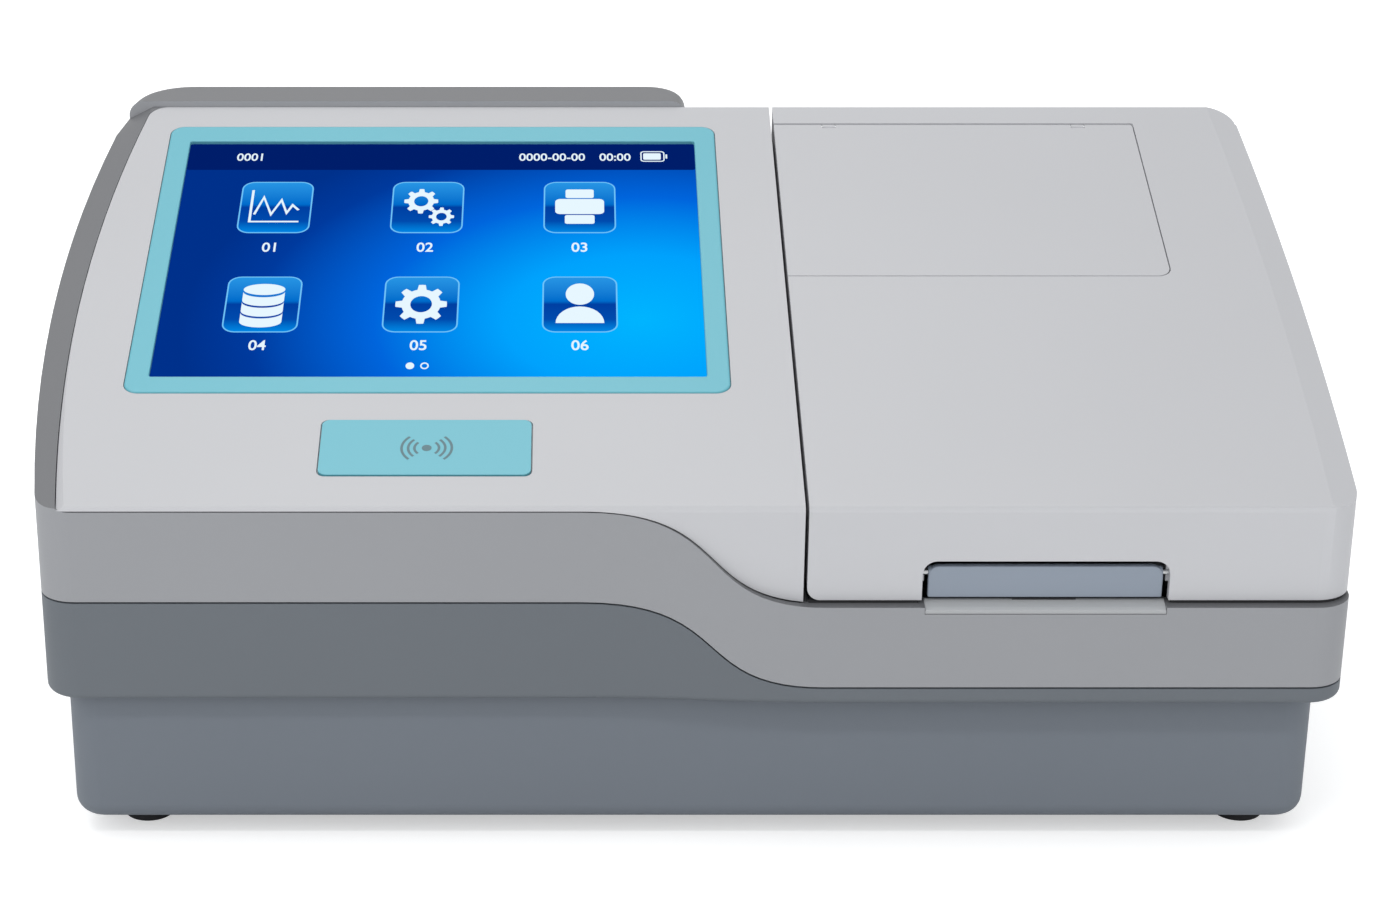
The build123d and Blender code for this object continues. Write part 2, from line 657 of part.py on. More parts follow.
# Lid hinges: bases on the rear deck, pins through them, arms on the lid's rear lip
hinge_y = rear_edge_y + 9.5
hinge_z = rear_deck_z + 8.5
hinge_x = (78.0, 196.0)
hinge_radius = 5.0
hinge_pin_radius = 2.0
arm_width = 16.0
ear_width = 6.0
ear_gap = 0.4
hinge_foot = 3.0
hinge_plane = Plane(origin=(0, hinge_y, hinge_z), x_dir=(0, 1, 0), z_dir=(1, 0, 0))
with BuildPart() as hinge_bases:
    for x in hinge_x:
        for side in (-1, 1):
            inner = x + side * (arm_width / 2 + ear_gap)
            with BuildSketch(hinge_plane.offset(min(inner, inner + side * ear_width))):
                Circle(hinge_radius)
                with Locations((0, -hinge_radius)):
                    Rectangle(2 * hinge_radius, 2 * hinge_radius)
                with Locations((0, (rear_deck_z - hinge_z) / 2)):
                    Rectangle(2 * hinge_radius, hinge_z - rear_deck_z, mode=Mode.INTERSECT)
                Circle(hinge_radius)
                Circle(hinge_pin_radius + pin_fit, mode=Mode.SUBTRACT)
            extrude(amount=ear_width)
        block(
            (x - arm_width / 2 - ear_gap - ear_width, x + arm_width / 2 + ear_gap + ear_width),
            (hinge_y - hinge_radius, hinge_y + 13),
            (rear_deck_z, rear_deck_z + hinge_foot - 0.4),
        )
        with Locations((x - 8, hinge_y + 9, rear_deck_z + hinge_foot), (x + 8, hinge_y + 9, rear_deck_z + hinge_foot)):
            Cylinder(2.6, 2.4, align=(Align.CENTER, Align.CENTER, Align.CENTER))
hinge_bases.part.label = "hinge_bases"
export_step(hinge_bases.part, "parts/hinge_bases.step")

with BuildPart() as hinge_pins:
    for x in hinge_x:
        with BuildSketch(hinge_plane.offset(x - arm_width / 2 - ear_gap - ear_width)):
            Circle(hinge_pin_radius)
        extrude(amount=arm_width + 2 * ear_gap + 2 * ear_width)
hinge_pins.part.label = "hinge_pins"
export_step(hinge_pins.part, "parts/hinge_pins.step")

with BuildPart() as hinge_arms:
    for x in hinge_x:
        with BuildSketch(hinge_plane.offset(x - arm_width / 2)):
            Circle(hinge_radius - 0.4)
            with BuildLine():
                Polyline(
                    (rear_edge_y - hinge_y, lid_rear_lip_z + 2.5 - hinge_z),
                    (0, -hinge_radius + 0.4),
                    (0, hinge_radius - 0.4),
                    (rear_edge_y - hinge_y, lid_rear_lip_z + 15 - hinge_z),
                    close=True,
                )
            make_face()
            Circle(hinge_pin_radius + run_fit, mode=Mode.SUBTRACT)
        extrude(amount=arm_width)
hinge_arms.part.label = "hinge_arms"
export_step(hinge_arms.part, "parts/hinge_arms.step")

# Bay gasket on the ledge, under the lid's walls
with BuildPart() as bay_gasket:
    with BuildSketch(Plane.XY.offset(ledge_z)):
        add(housing_plan(0, gasket_inset))
        with Locations((lid_left + gasket_inset + width / 2, rear_edge_y - gasket_inset - depth / 2)):
            Rectangle(width, depth, mode=Mode.INTERSECT)
        with BuildSketch(mode=Mode.SUBTRACT):
            add(housing_plan(0, gasket_inset + 2))
            with Locations((lid_left + gasket_inset + 2 + width / 2, rear_edge_y - gasket_inset - 2 - depth / 2)):
                Rectangle(width, depth, mode=Mode.INTERSECT)
        with Locations((latch_x, front_y)):
            Rectangle(notch_width + 4, 8, mode=Mode.SUBTRACT)
    extrude(amount=0.9)
bay_gasket.part.label = "bay_gasket"
export_step(bay_gasket.part, "parts/bay_gasket.step")

# Chassis under the bay, with pressed spacers for the detector board
chassis_z = skirt_bottom + wall
chassis_thickness = 2.0
floor_z = chassis_z + chassis_thickness
chassis_left = 22.0
chassis_right = 218.0
belt_x = 50.0
drive_y = 96.0
idler_y = -116.0
detector_z = 69.0
optics_y = 59.0
detector_posts = [(bay_x + x, optics_y + y) for x in (-54, 54) for y in (-7, 7)]
with BuildPart() as chassis_plate:
    block((chassis_left, chassis_right), (-tub_depth_half + 4, tub_depth_half - 4), (chassis_z, floor_z))
    with Locations(*[(x, y, floor_z) for x, y in detector_posts]):
        Cylinder(3, detector_z - floor_z, align=(Align.CENTER, Align.CENTER, Align.MIN))
    with Locations((belt_x, drive_y, floor_z)):
        Hole(11.3, depth=chassis_thickness)
    with Locations(*[(bay_x + x, -35, floor_z) for x in (-30, 30)]):
        Hole(14, depth=chassis_thickness)
chassis_plate.part.label = "chassis_plate"
export_step(chassis_plate.part, "parts/chassis_plate.step")

with BuildPart() as bay_wall:
    block((rail_left_x + 2, rail_left_x + 3.5), (-122, 108), (floor_z, ledge_z - ledge_thickness))
    block((rail_left_x - 8, rail_left_x + 3.5), (-122, 108), (floor_z, floor_z + 1.5))
bay_wall.part.label = "bay_wall"
export_step(bay_wall.part, "parts/bay_wall.step")

# Carrier transport: two rods in blocks, the carrier on four bushes, a belt round two pulleys, a motor below
rod_offset = 68.0
rod_radius = 4.0
rod_z = 79.0
block_thickness = 8.0
block_half = 8.0
block_front_y = -121.0
block_rear_y = 108.0
bush_radius = 7.5
bush_length = 24.0
with BuildPart() as guide_rods:
    for x in (bay_x - rod_offset, bay_x + rod_offset):
        with BuildSketch(Plane.XZ.offset(-block_rear_y)):
            with Locations((x, rod_z)):
                Circle(rod_radius)
        extrude(amount=block_rear_y - block_front_y)
guide_rods.part.label = "guide_rods"
export_step(guide_rods.part, "parts/guide_rods.step")

with BuildPart() as rod_blocks:
    for x in (bay_x - rod_offset, bay_x + rod_offset):
        for y in (block_front_y, block_rear_y):
            block(
                (x - block_half, x + block_half),
                (y - block_thickness / 2, y + block_thickness / 2),
                (floor_z, rod_z + rod_radius + 4),
            )
            with Locations(Plane.XZ.offset(-y - block_thickness / 2) * Location((x, rod_z, 0))):
                Cylinder(rod_radius + pin_fit, 3 * block_thickness, mode=Mode.SUBTRACT)
rod_blocks.part.label = "rod_blocks"
export_step(rod_blocks.part, "parts/rod_blocks.step")

plate_length = 127.76     # the standard microplate
plate_width = 85.48
plate_height = 14.35
pocket_clearance = 0.4
carrier_y = -70.0         # middle of the carrier in its loading place
carrier_travel = 105.0
carrier_width = 152.0
carrier_depth = 108.0
carrier_bottom = 88.0
carrier_top = 98.0
pocket_floor = 91.0
bush_block_y = 28.0       # bush housings, from the carrier's middle
belt_inner = 5.7
belt_thickness = 1.4
belt_bottom = 70.0
belt_height = 6.0
jaw = 1.5
jaw_gap = 0.3
sensor_x = bay_x - 44
flag_thickness = 0.8
with BuildPart() as plate_carrier:
    with BuildSketch(Plane.XY.offset(carrier_bottom)):
        with Locations((bay_x, carrier_y)):
            RectangleRounded(carrier_width, carrier_depth, 5)
    extrude(amount=carrier_top - carrier_bottom)
    with BuildSketch(Plane.XY.offset(pocket_floor)):
        with Locations((bay_x, carrier_y)):
            RectangleRounded(plate_length + 2 * pocket_clearance, plate_width + 2 * pocket_clearance, 3)
            Rectangle(carrier_width + 2, 36)
    extrude(amount=20, mode=Mode.SUBTRACT)
    with BuildSketch(Plane.XY.offset(carrier_bottom)):
        with Locations((bay_x, carrier_y)):
            RectangleRounded(plate_length - 12, plate_width - 12, 3)
    extrude(amount=20, mode=Mode.SUBTRACT)
    for x in (bay_x - rod_offset, bay_x + rod_offset):
        block(
            (x - block_half, x + block_half),
            (carrier_y - bush_block_y - bush_length / 2, carrier_y + bush_block_y + bush_length / 2),
            (rod_z - bush_radius - 1, carrier_bottom),
        )
    grip = (carrier_y - 10, carrier_y + 10)
    belt_inside = belt_x + belt_inner - jaw_gap
    belt_outside = belt_x + belt_inner + belt_thickness + jaw_gap
    belt_top = belt_bottom + belt_height + jaw_gap
    block((belt_inside - jaw, bay_x - rod_offset), grip, (belt_top, carrier_bottom + 1))
    block((belt_inside - jaw, belt_inside), grip, (belt_bottom, belt_top))
    block((belt_outside, belt_outside + jaw), grip, (belt_bottom, belt_top))
    for x in (bay_x - rod_offset, bay_x + rod_offset):
        with Locations(Plane.XZ.offset(-carrier_y) * Location((x, rod_z, 0))):
            Cylinder(bush_radius + pin_fit, 3 * bush_length + 2 * bush_block_y, mode=Mode.SUBTRACT)
    block(
        (sensor_x - flag_thickness / 2, sensor_x + flag_thickness / 2),
        (carrier_y - carrier_depth / 2 + 2, carrier_y - carrier_depth / 2 + 7),
        (floor_z + 8, carrier_bottom + 1),
    )
plate_carrier.part.label = "plate_carrier"
export_step(plate_carrier.part, "parts/plate_carrier.step")

with BuildPart() as carrier_bushes:
    for x in (bay_x - rod_offset, bay_x + rod_offset):
        for y in (carrier_y - bush_block_y, carrier_y + bush_block_y):
            with Locations(Plane.XZ.offset(-y) * Location((x, rod_z, 0))):
                Cylinder(bush_radius, bush_length)
                Cylinder(rod_radius + run_fit, bush_length + 2, mode=Mode.SUBTRACT)
carrier_bushes.part.label = "carrier_bushes"
export_step(carrier_bushes.part, "parts/carrier_bushes.step")

with BuildPart() as drive_belt:
    with BuildSketch(Plane.XY.offset(belt_bottom)):
        with Locations((belt_x, (drive_y + idler_y) / 2)):
            SlotCenterToCenter(drive_y - idler_y, 2 * (belt_inner + belt_thickness), rotation=90)
            SlotCenterToCenter(drive_y - idler_y, 2 * belt_inner, rotation=90, mode=Mode.SUBTRACT)
    extrude(amount=belt_height)
drive_belt.part.label = "drive_belt"
export_step(drive_belt.part, "parts/drive_belt.step")

pulley_teeth = 20
pulley_body = belt_inner - 0.3
pulley_flange = 8.2
shaft_radius = 2.5
motor_height = 34.0


def pulley(y, bore, shaft_bottom):
    """A toothed belt pulley between two flanges, on a shaft that reaches down to shaft_bottom, or bored."""
    with BuildPart() as wheel:
        with Locations((belt_x, y, belt_bottom - 0.4)):
            Cylinder(pulley_body, belt_height + 0.8, align=(Align.CENTER, Align.CENTER, Align.MIN))
        with Locations((belt_x, y, belt_bottom - 1.4), (belt_x, y, belt_bottom + belt_height + 0.4)):
            Cylinder(pulley_flange, 1, align=(Align.CENTER, Align.CENTER, Align.MIN))
        with BuildSketch(Plane.XY.offset(belt_bottom - 0.4)):
            with Locations((belt_x, y)):
                with PolarLocations(pulley_body, pulley_teeth):
                    Rectangle(1.2, 0.8)
        extrude(amount=belt_height + 0.8, mode=Mode.SUBTRACT)
        if bore > 0:
            with Locations((belt_x, y, belt_bottom + belt_height / 2)):
                Cylinder(bore, 4 * belt_height, mode=Mode.SUBTRACT)
        else:
            with Locations((belt_x, y, shaft_bottom)):
                Cylinder(
                    shaft_radius,
                    belt_bottom + belt_height + 3 - shaft_bottom,
                    align=(Align.CENTER, Align.CENTER, Align.MIN),
                )
    return wheel


drive_pulley = pulley(drive_y, 0, chassis_z - 18)
drive_pulley.part.label = "drive_pulley"
export_step(drive_pulley.part, "parts/drive_pulley.step")

idler_pulley = pulley(idler_y, shaft_radius + run_fit, 0)
idler_pulley.part.label = "idler_pulley"
export_step(idler_pulley.part, "parts/idler_pulley.step")

with BuildPart() as idler_axle:
    with Locations((belt_x, idler_y, floor_z)):
        Cylinder(shaft_radius, 15, align=(Align.CENTER, Align.CENTER, Align.MIN))
        Cylinder(4.5, belt_bottom - 1.4 - 0.4 - floor_z, align=(Align.CENTER, Align.CENTER, Align.MIN))
idler_axle.part.label = "idler_axle"
export_step(idler_axle.part, "parts/idler_axle.step")

with BuildPart() as carrier_motor:
    with BuildSketch(Plane.XY.offset(chassis_z)) as motor_face:
        with Locations((belt_x, drive_y)):
            Rectangle(42.3, 42.3)
        chamfer(motor_face.vertices(), 4)
    extrude(amount=-motor_height)
    with Locations((belt_x, drive_y, chassis_z)):
        Cylinder(11, chassis_thickness, align=(Align.CENTER, Align.CENTER, Align.MIN))
        Cylinder(shaft_radius + run_fit, 40, mode=Mode.SUBTRACT)
carrier_motor.part.label = "carrier_motor"
export_step(carrier_motor.part, "parts/carrier_motor.step")

with BuildPart() as home_sensor:
    block((sensor_x - 6, sensor_x + 6), (-126, -114), (floor_z, floor_z + 4))
    for x in (sensor_x - 4, sensor_x + 4):
        block((x - 2, x + 2), (-124, -116), (floor_z + 4, floor_z + 14))
home_sensor.part.label = "home_sensor"
export_step(home_sensor.part, "parts/home_sensor.step")

# Optics: a bracket on the chassis carries the measuring head over the plate's path
head_left = 78.0
head_right = 194.0
head_front_y = 24.0
head_back_y = 94.0
head_bottom = 118.0
head_top = 138.0
bracket_thickness = 6.0
channels = 12
channel_pitch = 9.0
with BuildPart() as head_bracket:
    block(
        (head_left + 6, head_right - 6), (head_back_y, head_back_y + bracket_thickness), (floor_z, head_top)
    )
    block((head_left + 6, head_right - 6), (head_back_y, head_back_y + 17), (floor_z, floor_z + 3))
    for x in (head_left + 8, bay_x, head_right - 8):
        with BuildSketch(Plane.YZ.offset(x - 1.5)):
            with BuildLine():
                Polyline(
                    (head_back_y + bracket_thickness, floor_z + 3),
                    (head_back_y + 17, floor_z + 3),
                    (head_back_y + bracket_thickness, ledge_z - ledge_thickness - 4),
                    close=True,
                )
            make_face()
        extrude(amount=3)
    with BuildSketch(Plane.XZ.offset(-head_back_y)):
        with Locations((bay_x, 88)):
            RectangleRounded(70, 26, 6)
    extrude(amount=-bracket_thickness, mode=Mode.SUBTRACT)
head_bracket.part.label = "head_bracket"
export_step(head_bracket.part, "parts/head_bracket.step")

beam_y = 46.0             # the beam crosses the filter wheel here
beam_z = 158.0
guide_radius = 3.0
guide_bend = 12.0
guide_drop_x = 88.0
with BuildPart() as measuring_head:
    block((head_left, head_right), (head_front_y, head_back_y), (head_bottom, head_top))
    fillet(measuring_head.edges().filter_by(Axis.Z).group_by(Axis.Y)[0], 6)
    chamfer(measuring_head.faces().sort_by(Axis.Z)[-1].edges().sort_by(Axis.Y)[:-1], 1.5)
    with Locations((guide_drop_x, beam_y, head_top)):
        Hole(guide_radius + pin_fit, depth=4)
    with BuildSketch(Plane.XZ.offset(-head_front_y)):
        for step in range(channels):
            with Locations((bay_x + (step - (channels - 1) / 2) * channel_pitch, (head_bottom + head_top) / 2)):
                SlotOverall(10, 3, rotation=90)
    extrude(amount=-2, mode=Mode.SUBTRACT)
measuring_head.part.label = "measuring_head"
export_step(measuring_head.part, "parts/measuring_head.step")

barrel_height = 6.0
with BuildPart() as lens_barrels:
    with BuildSketch(Plane.XY.offset(head_bottom)):
        with Locations((bay_x, optics_y)):
            with GridLocations(channel_pitch, channel_pitch, channels, 1):
                Circle(3.2)
    extrude(amount=-barrel_height)
    with BuildSketch(Plane.XY.offset(head_bottom - barrel_height)):
        with Locations((bay_x, optics_y)):
            with GridLocations(channel_pitch, channel_pitch, channels, 1):
                Circle(2)
    extrude(amount=2, mode=Mode.SUBTRACT)
lens_barrels.part.label = "lens_barrels"
export_step(lens_barrels.part, "parts/lens_barrels.step")

with BuildPart() as detector_board:
    block((head_left, head_right), (optics_y - 10, optics_y + 10), (detector_z, detector_z + 1.6))
    with BuildSketch(Plane.XY.offset(detector_z + 1.6)):
        with Locations((bay_x, optics_y)):
            with GridLocations(channel_pitch, channel_pitch, channels, 1):
                Circle(2.6)
    extrude(amount=2.2)
detector_board.part.label = "detector_board"
export_step(detector_board.part, "parts/detector_board.step")

# Light source and filters on top of the measuring head
wheel_y = 60.0
wheel_x = 126.0
wheel_thickness = 4.0
wheel_radius = 19.0
filter_count = 8
filter_radius = 4.2
motor_radius = 10.0
plate_x = 118.0           # right face of the filter bracket
plate_thickness = 3.0
wheel_plane = Plane(origin=(0, wheel_y, beam_z), x_dir=(0, 1, 0), z_dir=(1, 0, 0))
wheel_ring = wheel_y - beam_y
with BuildPart() as filter_bracket:
    block((plate_x - plate_thickness, plate_x), (wheel_y - 20, wheel_y + 18), (head_top, beam_z + 14))
    block((plate_x - 18, plate_x), (wheel_y - 16, wheel_y + 18), (head_top, head_top + 2.5))
    fillet(filter_bracket.edges().filter_by(Axis.X).group_by(Axis.Z)[-1], 5)
    with BuildSketch(wheel_plane.offset(plate_x - plate_thickness - 1)):
        Circle(4)
        with Locations((-wheel_ring, 0)):
            Circle(guide_radius + 0.6)
    extrude(amount=plate_thickness + 2, mode=Mode.SUBTRACT)
filter_bracket.part.label = "filter_bracket"
export_step(filter_bracket.part, "parts/filter_bracket.step")

wheel_shaft = 1.5
with BuildPart() as filter_motor:
    with BuildSketch(wheel_plane.offset(plate_x - plate_thickness)):
        Circle(motor_radius)
    extrude(amount=-15)
    fillet(filter_motor.faces().sort_by(Axis.X)[0].edges(), 1)
    with BuildSketch(wheel_plane.offset(plate_x - plate_thickness)):
        Circle(3.6)
    extrude(amount=plate_thickness)
    with BuildSketch(wheel_plane.offset(plate_x)):
        Circle(wheel_shaft + run_fit)
    extrude(amount=-14, mode=Mode.SUBTRACT)
filter_motor.part.label = "filter_motor"
export_step(filter_motor.part, "parts/filter_motor.step")

with BuildPart() as filter_wheel:
    with BuildSketch(wheel_plane.offset(wheel_x)):
        Circle(wheel_radius)
        with PolarLocations(wheel_ring, filter_count):
            Circle(filter_radius, mode=Mode.SUBTRACT)
    extrude(amount=wheel_thickness)
    with BuildSketch(wheel_plane.offset(wheel_x - 4)):
        Circle(5)
    extrude(amount=wheel_thickness + 6)
    with BuildSketch(wheel_plane.offset(plate_x - 13)):
        Circle(wheel_shaft)
    extrude(amount=wheel_x - plate_x + 13)
filter_wheel.part.label = "filter_wheel"
export_step(filter_wheel.part, "parts/filter_wheel.step")

with BuildPart() as filters:
    with BuildSketch(wheel_plane.offset(wheel_x + 1)):
        with PolarLocations(wheel_ring, filter_count):
            Circle(filter_radius - pin_fit)
    extrude(amount=2)
filters.part.label = "filters"
export_step(filters.part, "parts/filters.step")

with BuildPart() as light_guide:
    with BuildLine():
        bend_top = (guide_drop_x + guide_bend, beam_y, beam_z)
        bend_centre = (guide_drop_x + guide_bend, beam_y, beam_z - guide_bend)
        Line((plate_x - plate_thickness - 0.2, beam_y, beam_z), bend_top)
        ThreePointArc(
            bend_top,
            (bend_centre[0] - guide_bend * sin(pi / 4), beam_y, bend_centre[2] + guide_bend * cos(pi / 4)),
            (guide_drop_x, beam_y, beam_z - guide_bend),
        )
        Line((guide_drop_x, beam_y, beam_z - guide_bend), (guide_drop_x, beam_y, head_top - 3.5))
    with BuildSketch(wheel_plane.offset(plate_x - plate_thickness - 0.2)):
        with Locations((-wheel_ring, 0)):
            Circle(guide_radius)
    sweep()
light_guide.part.label = "light_guide"
export_step(light_guide.part, "parts/light_guide.step")

lamp_left = 144.0
lamp_right = 184.0
lamp_bore = 8.0
housing_half = 17.0
with BuildPart() as lamp_housing:
    block((lamp_left, lamp_right), (beam_y - housing_half, beam_y + housing_half), (head_top, beam_z + 14))
    for step in range(7):
        y = beam_y - housing_half + 4 + step * 4.35
        block((lamp_left - 1, lamp_right + 1), (y - 1, y + 1), (beam_z + 9.5, beam_z + 20), mode=Mode.SUBTRACT)
    with BuildSketch(wheel_plane.offset(lamp_left)):
        with Locations((-wheel_ring, 0)):
            Circle(lamp_bore)
    extrude(amount=lamp_right - lamp_left - 4, mode=Mode.SUBTRACT)
lamp_housing.part.label = "lamp_housing"
export_step(lamp_housing.part, "parts/lamp_housing.step")

with BuildPart() as condenser_lens:
    with BuildSketch(wheel_plane.offset(lamp_left + 1)):
        with Locations((-wheel_ring, 0)):
            Circle(lamp_bore - pin_fit)
    extrude(amount=4)
condenser_lens.part.label = "condenser_lens"
export_step(condenser_lens.part, "parts/condenser_lens.step")

with BuildPart() as lamp:
    with BuildSketch(wheel_plane.offset(lamp_right - 10)):
        with Locations((-wheel_ring, 0)):
            Circle(lamp_bore - pin_fit)
    extrude(amount=6)
    with BuildSketch(wheel_plane.offset(lamp_right - 10)):
        with Locations((-wheel_ring, 0)):
            Circle(4.5)
    extrude(amount=-12)
    fillet(lamp.faces().sort_by(Axis.X)[0].edges(), 4)
lamp.part.label = "lamp"
export_step(lamp.part, "parts/lamp.step")

# Electronics in the tub
tub_floor = foot_height + wall
with BuildPart() as main_board:
    block((-190, -20), (-100, 40), (board_z, board_z + 1.6))
    with BuildSketch(Plane.XY.offset(board_z + 1.6)):
        with Locations((-120, -40)):
            Rectangle(28, 28)
        with Locations((-70, -60), (-70, -30)):
            Rectangle(14, 18)
    extrude(amount=1.6)
    with BuildSketch(Plane.XY.offset(board_z + 1.6)):
        with Locations((-150, 30), (-100, 30), (-60, 30)):
            Rectangle(30, 7)
    extrude(amount=9)
    with BuildSketch(Plane.XY.offset(board_z + 1.6)):
        with Locations((-172, -80), (-158, -80), (-144, -80)):
            Circle(5)
    extrude(amount=14)
main_board.part.label = "main_board"
export_step(main_board.part, "parts/main_board.step")

with BuildPart() as power_supply:
    block((84, 186), (4, 96), (tub_floor, tub_floor + 34))
    for step in range(9):
        x = 99 + step * 9
        block((x - 2, x + 2), (24, 84), (tub_floor + 32.5, tub_floor + 40), mode=Mode.SUBTRACT)
    block((90, 140), (-4, 4), (tub_floor, tub_floor + 12))
power_supply.part.label = "power_supply"
export_step(power_supply.part, "parts/power_supply.step")

# Rear panel behind the tub's window, with its connectors
panel_face = tub_depth_half - wall
panel_thickness = 2.0
panel_mid_z = (tub_rear_window[1] + tub_rear_window[2]) / 2
inlet_x = 130.0
switch_x = 92.0
serial_x = 34.0
network_x = -16.0
usb_x = -48.0
fan_x = -108.0
fan_size = 40.0
fan_bore = 19.0
with BuildPart() as rear_panel:
    block(
        (-panel_screw_x - 5, panel_screw_x + 5),
        (panel_face - panel_thickness, panel_face),
        (tub_floor + 0.5, skirt_bottom - 0.5),
    )
    with BuildSketch(Plane.XZ.offset(-panel_face)):
        with Locations((inlet_x, panel_mid_z)):
            Rectangle(27.4, 20.4)
        with Locations((switch_x, panel_mid_z)):
            Rectangle(13.4, 19.4)
        with Locations((serial_x, panel_mid_z)):
            Rectangle(19.4, 10.4)
        with Locations((network_x, panel_mid_z)):
            Rectangle(16.4, 13.9)
        with Locations((usb_x, panel_mid_z)):
            Rectangle(13.6, 15.0)
        for x in (-panel_screw_x, panel_screw_x):
            for z in panel_screw_z:
                with Locations((x, z)):
                    Circle(1.5)
        for radius in (6.0, 10.0, 14.0, 18.0):
            for turn in (45, 135, 225, 315):
                with Locations((fan_x, panel_mid_z)):
                    with PolarLocations(0, 1, start_angle=turn):
                        SlotArc(CenterArc((0, 0), radius, -34, 68), 2.2)
    extrude(amount=panel_thickness, dir=(0, -1, 0), mode=Mode.SUBTRACT)
rear_panel.part.label = "rear_panel"
export_step(rear_panel.part, "parts/rear_panel.step")

with BuildPart() as panel_screws:
    for x in (-panel_screw_x, panel_screw_x):
        for z in panel_screw_z:
            with Locations(Plane.XZ.offset(-tub_depth_half) * Location((x, z, 0))):
                Cylinder(3, 1.8, align=(Align.CENTER, Align.CENTER, Align.MAX))
                Cylinder(1.4, 8, align=(Align.CENTER, Align.CENTER, Align.MIN))
panel_screws.part.label = "panel_screws"
export_step(panel_screws.part, "parts/panel_screws.step")

with BuildPart() as power_inlet:
    block((inlet_x - 15, inlet_x + 15), (panel_face, panel_face + 2.4), (panel_mid_z - 12, panel_mid_z + 12))
    fillet(power_inlet.edges().filter_by(Axis.Y), 3)
    block((inlet_x - 13.5, inlet_x + 13.5), (panel_face - 22, panel_face), (panel_mid_z - 10, panel_mid_z + 10))
    with BuildSketch(Plane.XZ.offset(-panel_face - 2.4)) as socket:
        with Locations((inlet_x, panel_mid_z)):
            Rectangle(24, 16)
        chamfer(socket.vertices().group_by(Axis.Y)[-1], 4)
    extrude(amount=18, dir=(0, -1, 0), mode=Mode.SUBTRACT)
    for x, z in ((-7, -1.5), (7, -1.5), (0, 2.5)):
        block(
            (inlet_x + x - 1, inlet_x + x + 1),
            (panel_face - 16.6, panel_face - 2),
            (panel_mid_z + z - 2, panel_mid_z + z + 2),
        )
power_inlet.part.label = "power_inlet"
export_step(power_inlet.part, "parts/power_inlet.step")

rocker_radius = 1.5
rocker_depth = 5.0
rocker_tilt = 7.0
with BuildPart() as switch_frame:
    block((switch_x - 7.5, switch_x + 7.5), (panel_face, panel_face + 2), (panel_mid_z - 10.5, panel_mid_z + 10.5))
    block((switch_x - 6.5, switch_x + 6.5), (panel_face - 14, panel_face), (panel_mid_z - 9.5, panel_mid_z + 9.5))
    block(
        (switch_x - 5, switch_x + 5), (panel_face - 9, panel_face + 3), (panel_mid_z - 8.2, panel_mid_z + 8.2),
        mode=Mode.SUBTRACT,
    )
    with BuildSketch(Plane.YZ.offset(switch_x - 6)):
        with Locations((panel_face - 2, panel_mid_z)):
            Circle(rocker_radius + run_fit)
    extrude(amount=12, mode=Mode.SUBTRACT)
switch_frame.part.label = "switch_frame"
export_step(switch_frame.part, "parts/switch_frame.step")

rocker_axis = (switch_x, panel_face - 2, panel_mid_z)
rocker_plane = Plane(
    origin=rocker_axis, x_dir=(0, cos(radians(rocker_tilt)), sin(radians(rocker_tilt))), z_dir=(1, 0, 0)
)
with BuildPart() as power_rocker:
    with BuildSketch(rocker_plane):
        with BuildLine():
            Polyline(
                (-rocker_depth, -2.5),
                (2.6, -7.4),
                (3.8, -7.0),
                (2.6, 0),
                (3.8, 7.0),
                (2.6, 7.4),
                (-rocker_depth, 2.5),
                close=True,
            )
        make_face()
    extrude(amount=4.7, both=True)
    with BuildSketch(rocker_plane):
        Circle(rocker_radius)
    extrude(amount=5.8, both=True)
power_rocker.part.label = "power_rocker"
export_step(power_rocker.part, "parts/power_rocker.step")

fan_depth = 15.0
with BuildPart() as fan_frame:
    block(
        (fan_x - fan_size / 2, fan_x + fan_size / 2),
        (panel_face - panel_thickness - fan_depth, panel_face - panel_thickness),
        (panel_mid_z - fan_size / 2, panel_mid_z + fan_size / 2),
    )
    fillet(fan_frame.edges().filter_by(Axis.Y), 3)
    fan_plane = Plane(
        origin=(fan_x, panel_face - panel_thickness - fan_depth, panel_mid_z), x_dir=(1, 0, 0), z_dir=(0, 1, 0)
    )
    with BuildSketch(fan_plane):
        Circle(fan_bore)
        with GridLocations(32, 32, 2, 2):
            Circle(1.6)
    extrude(amount=fan_depth, mode=Mode.SUBTRACT)
    with BuildSketch(fan_plane):
        Circle(8)
        Rectangle(2 * fan_bore + 1, 2.5)
        Rectangle(2.5, 2 * fan_bore + 1)
    extrude(amount=2)
    with BuildSketch(fan_plane):
        Circle(1.5)
    extrude(amount=10)
fan_frame.part.label = "fan_frame"
export_step(fan_frame.part, "parts/fan_frame.step")

fan_blades = 7
with BuildPart() as fan_rotor:
    with BuildSketch(fan_plane.offset(3)):
        Circle(9)
    extrude(amount=11)
    for blade in range(fan_blades):
        with BuildSketch(fan_plane.offset(4)):
            with PolarLocations(0, 1, start_angle=blade * 360 / fan_blades):
                with Locations((12.6, 0)):
                    Rectangle(9.6, 1.4, rotation=18)
        extrude(amount=8)
    with BuildSketch(fan_plane.offset(3)):
        Circle(1.5 + run_fit)
    extrude(amount=8, mode=Mode.SUBTRACT)
fan_rotor.part.label = "fan_rotor"
export_step(fan_rotor.part, "parts/fan_rotor.step")


def connector(x, half, height, reach, proud):
    """A connector's shell through the rear panel, reaching inwards and standing a little proud."""
    block(
        (x - half, x + half), (panel_face - reach, panel_face + proud), (panel_mid_z - height / 2, panel_mid_z + height / 2)
    )


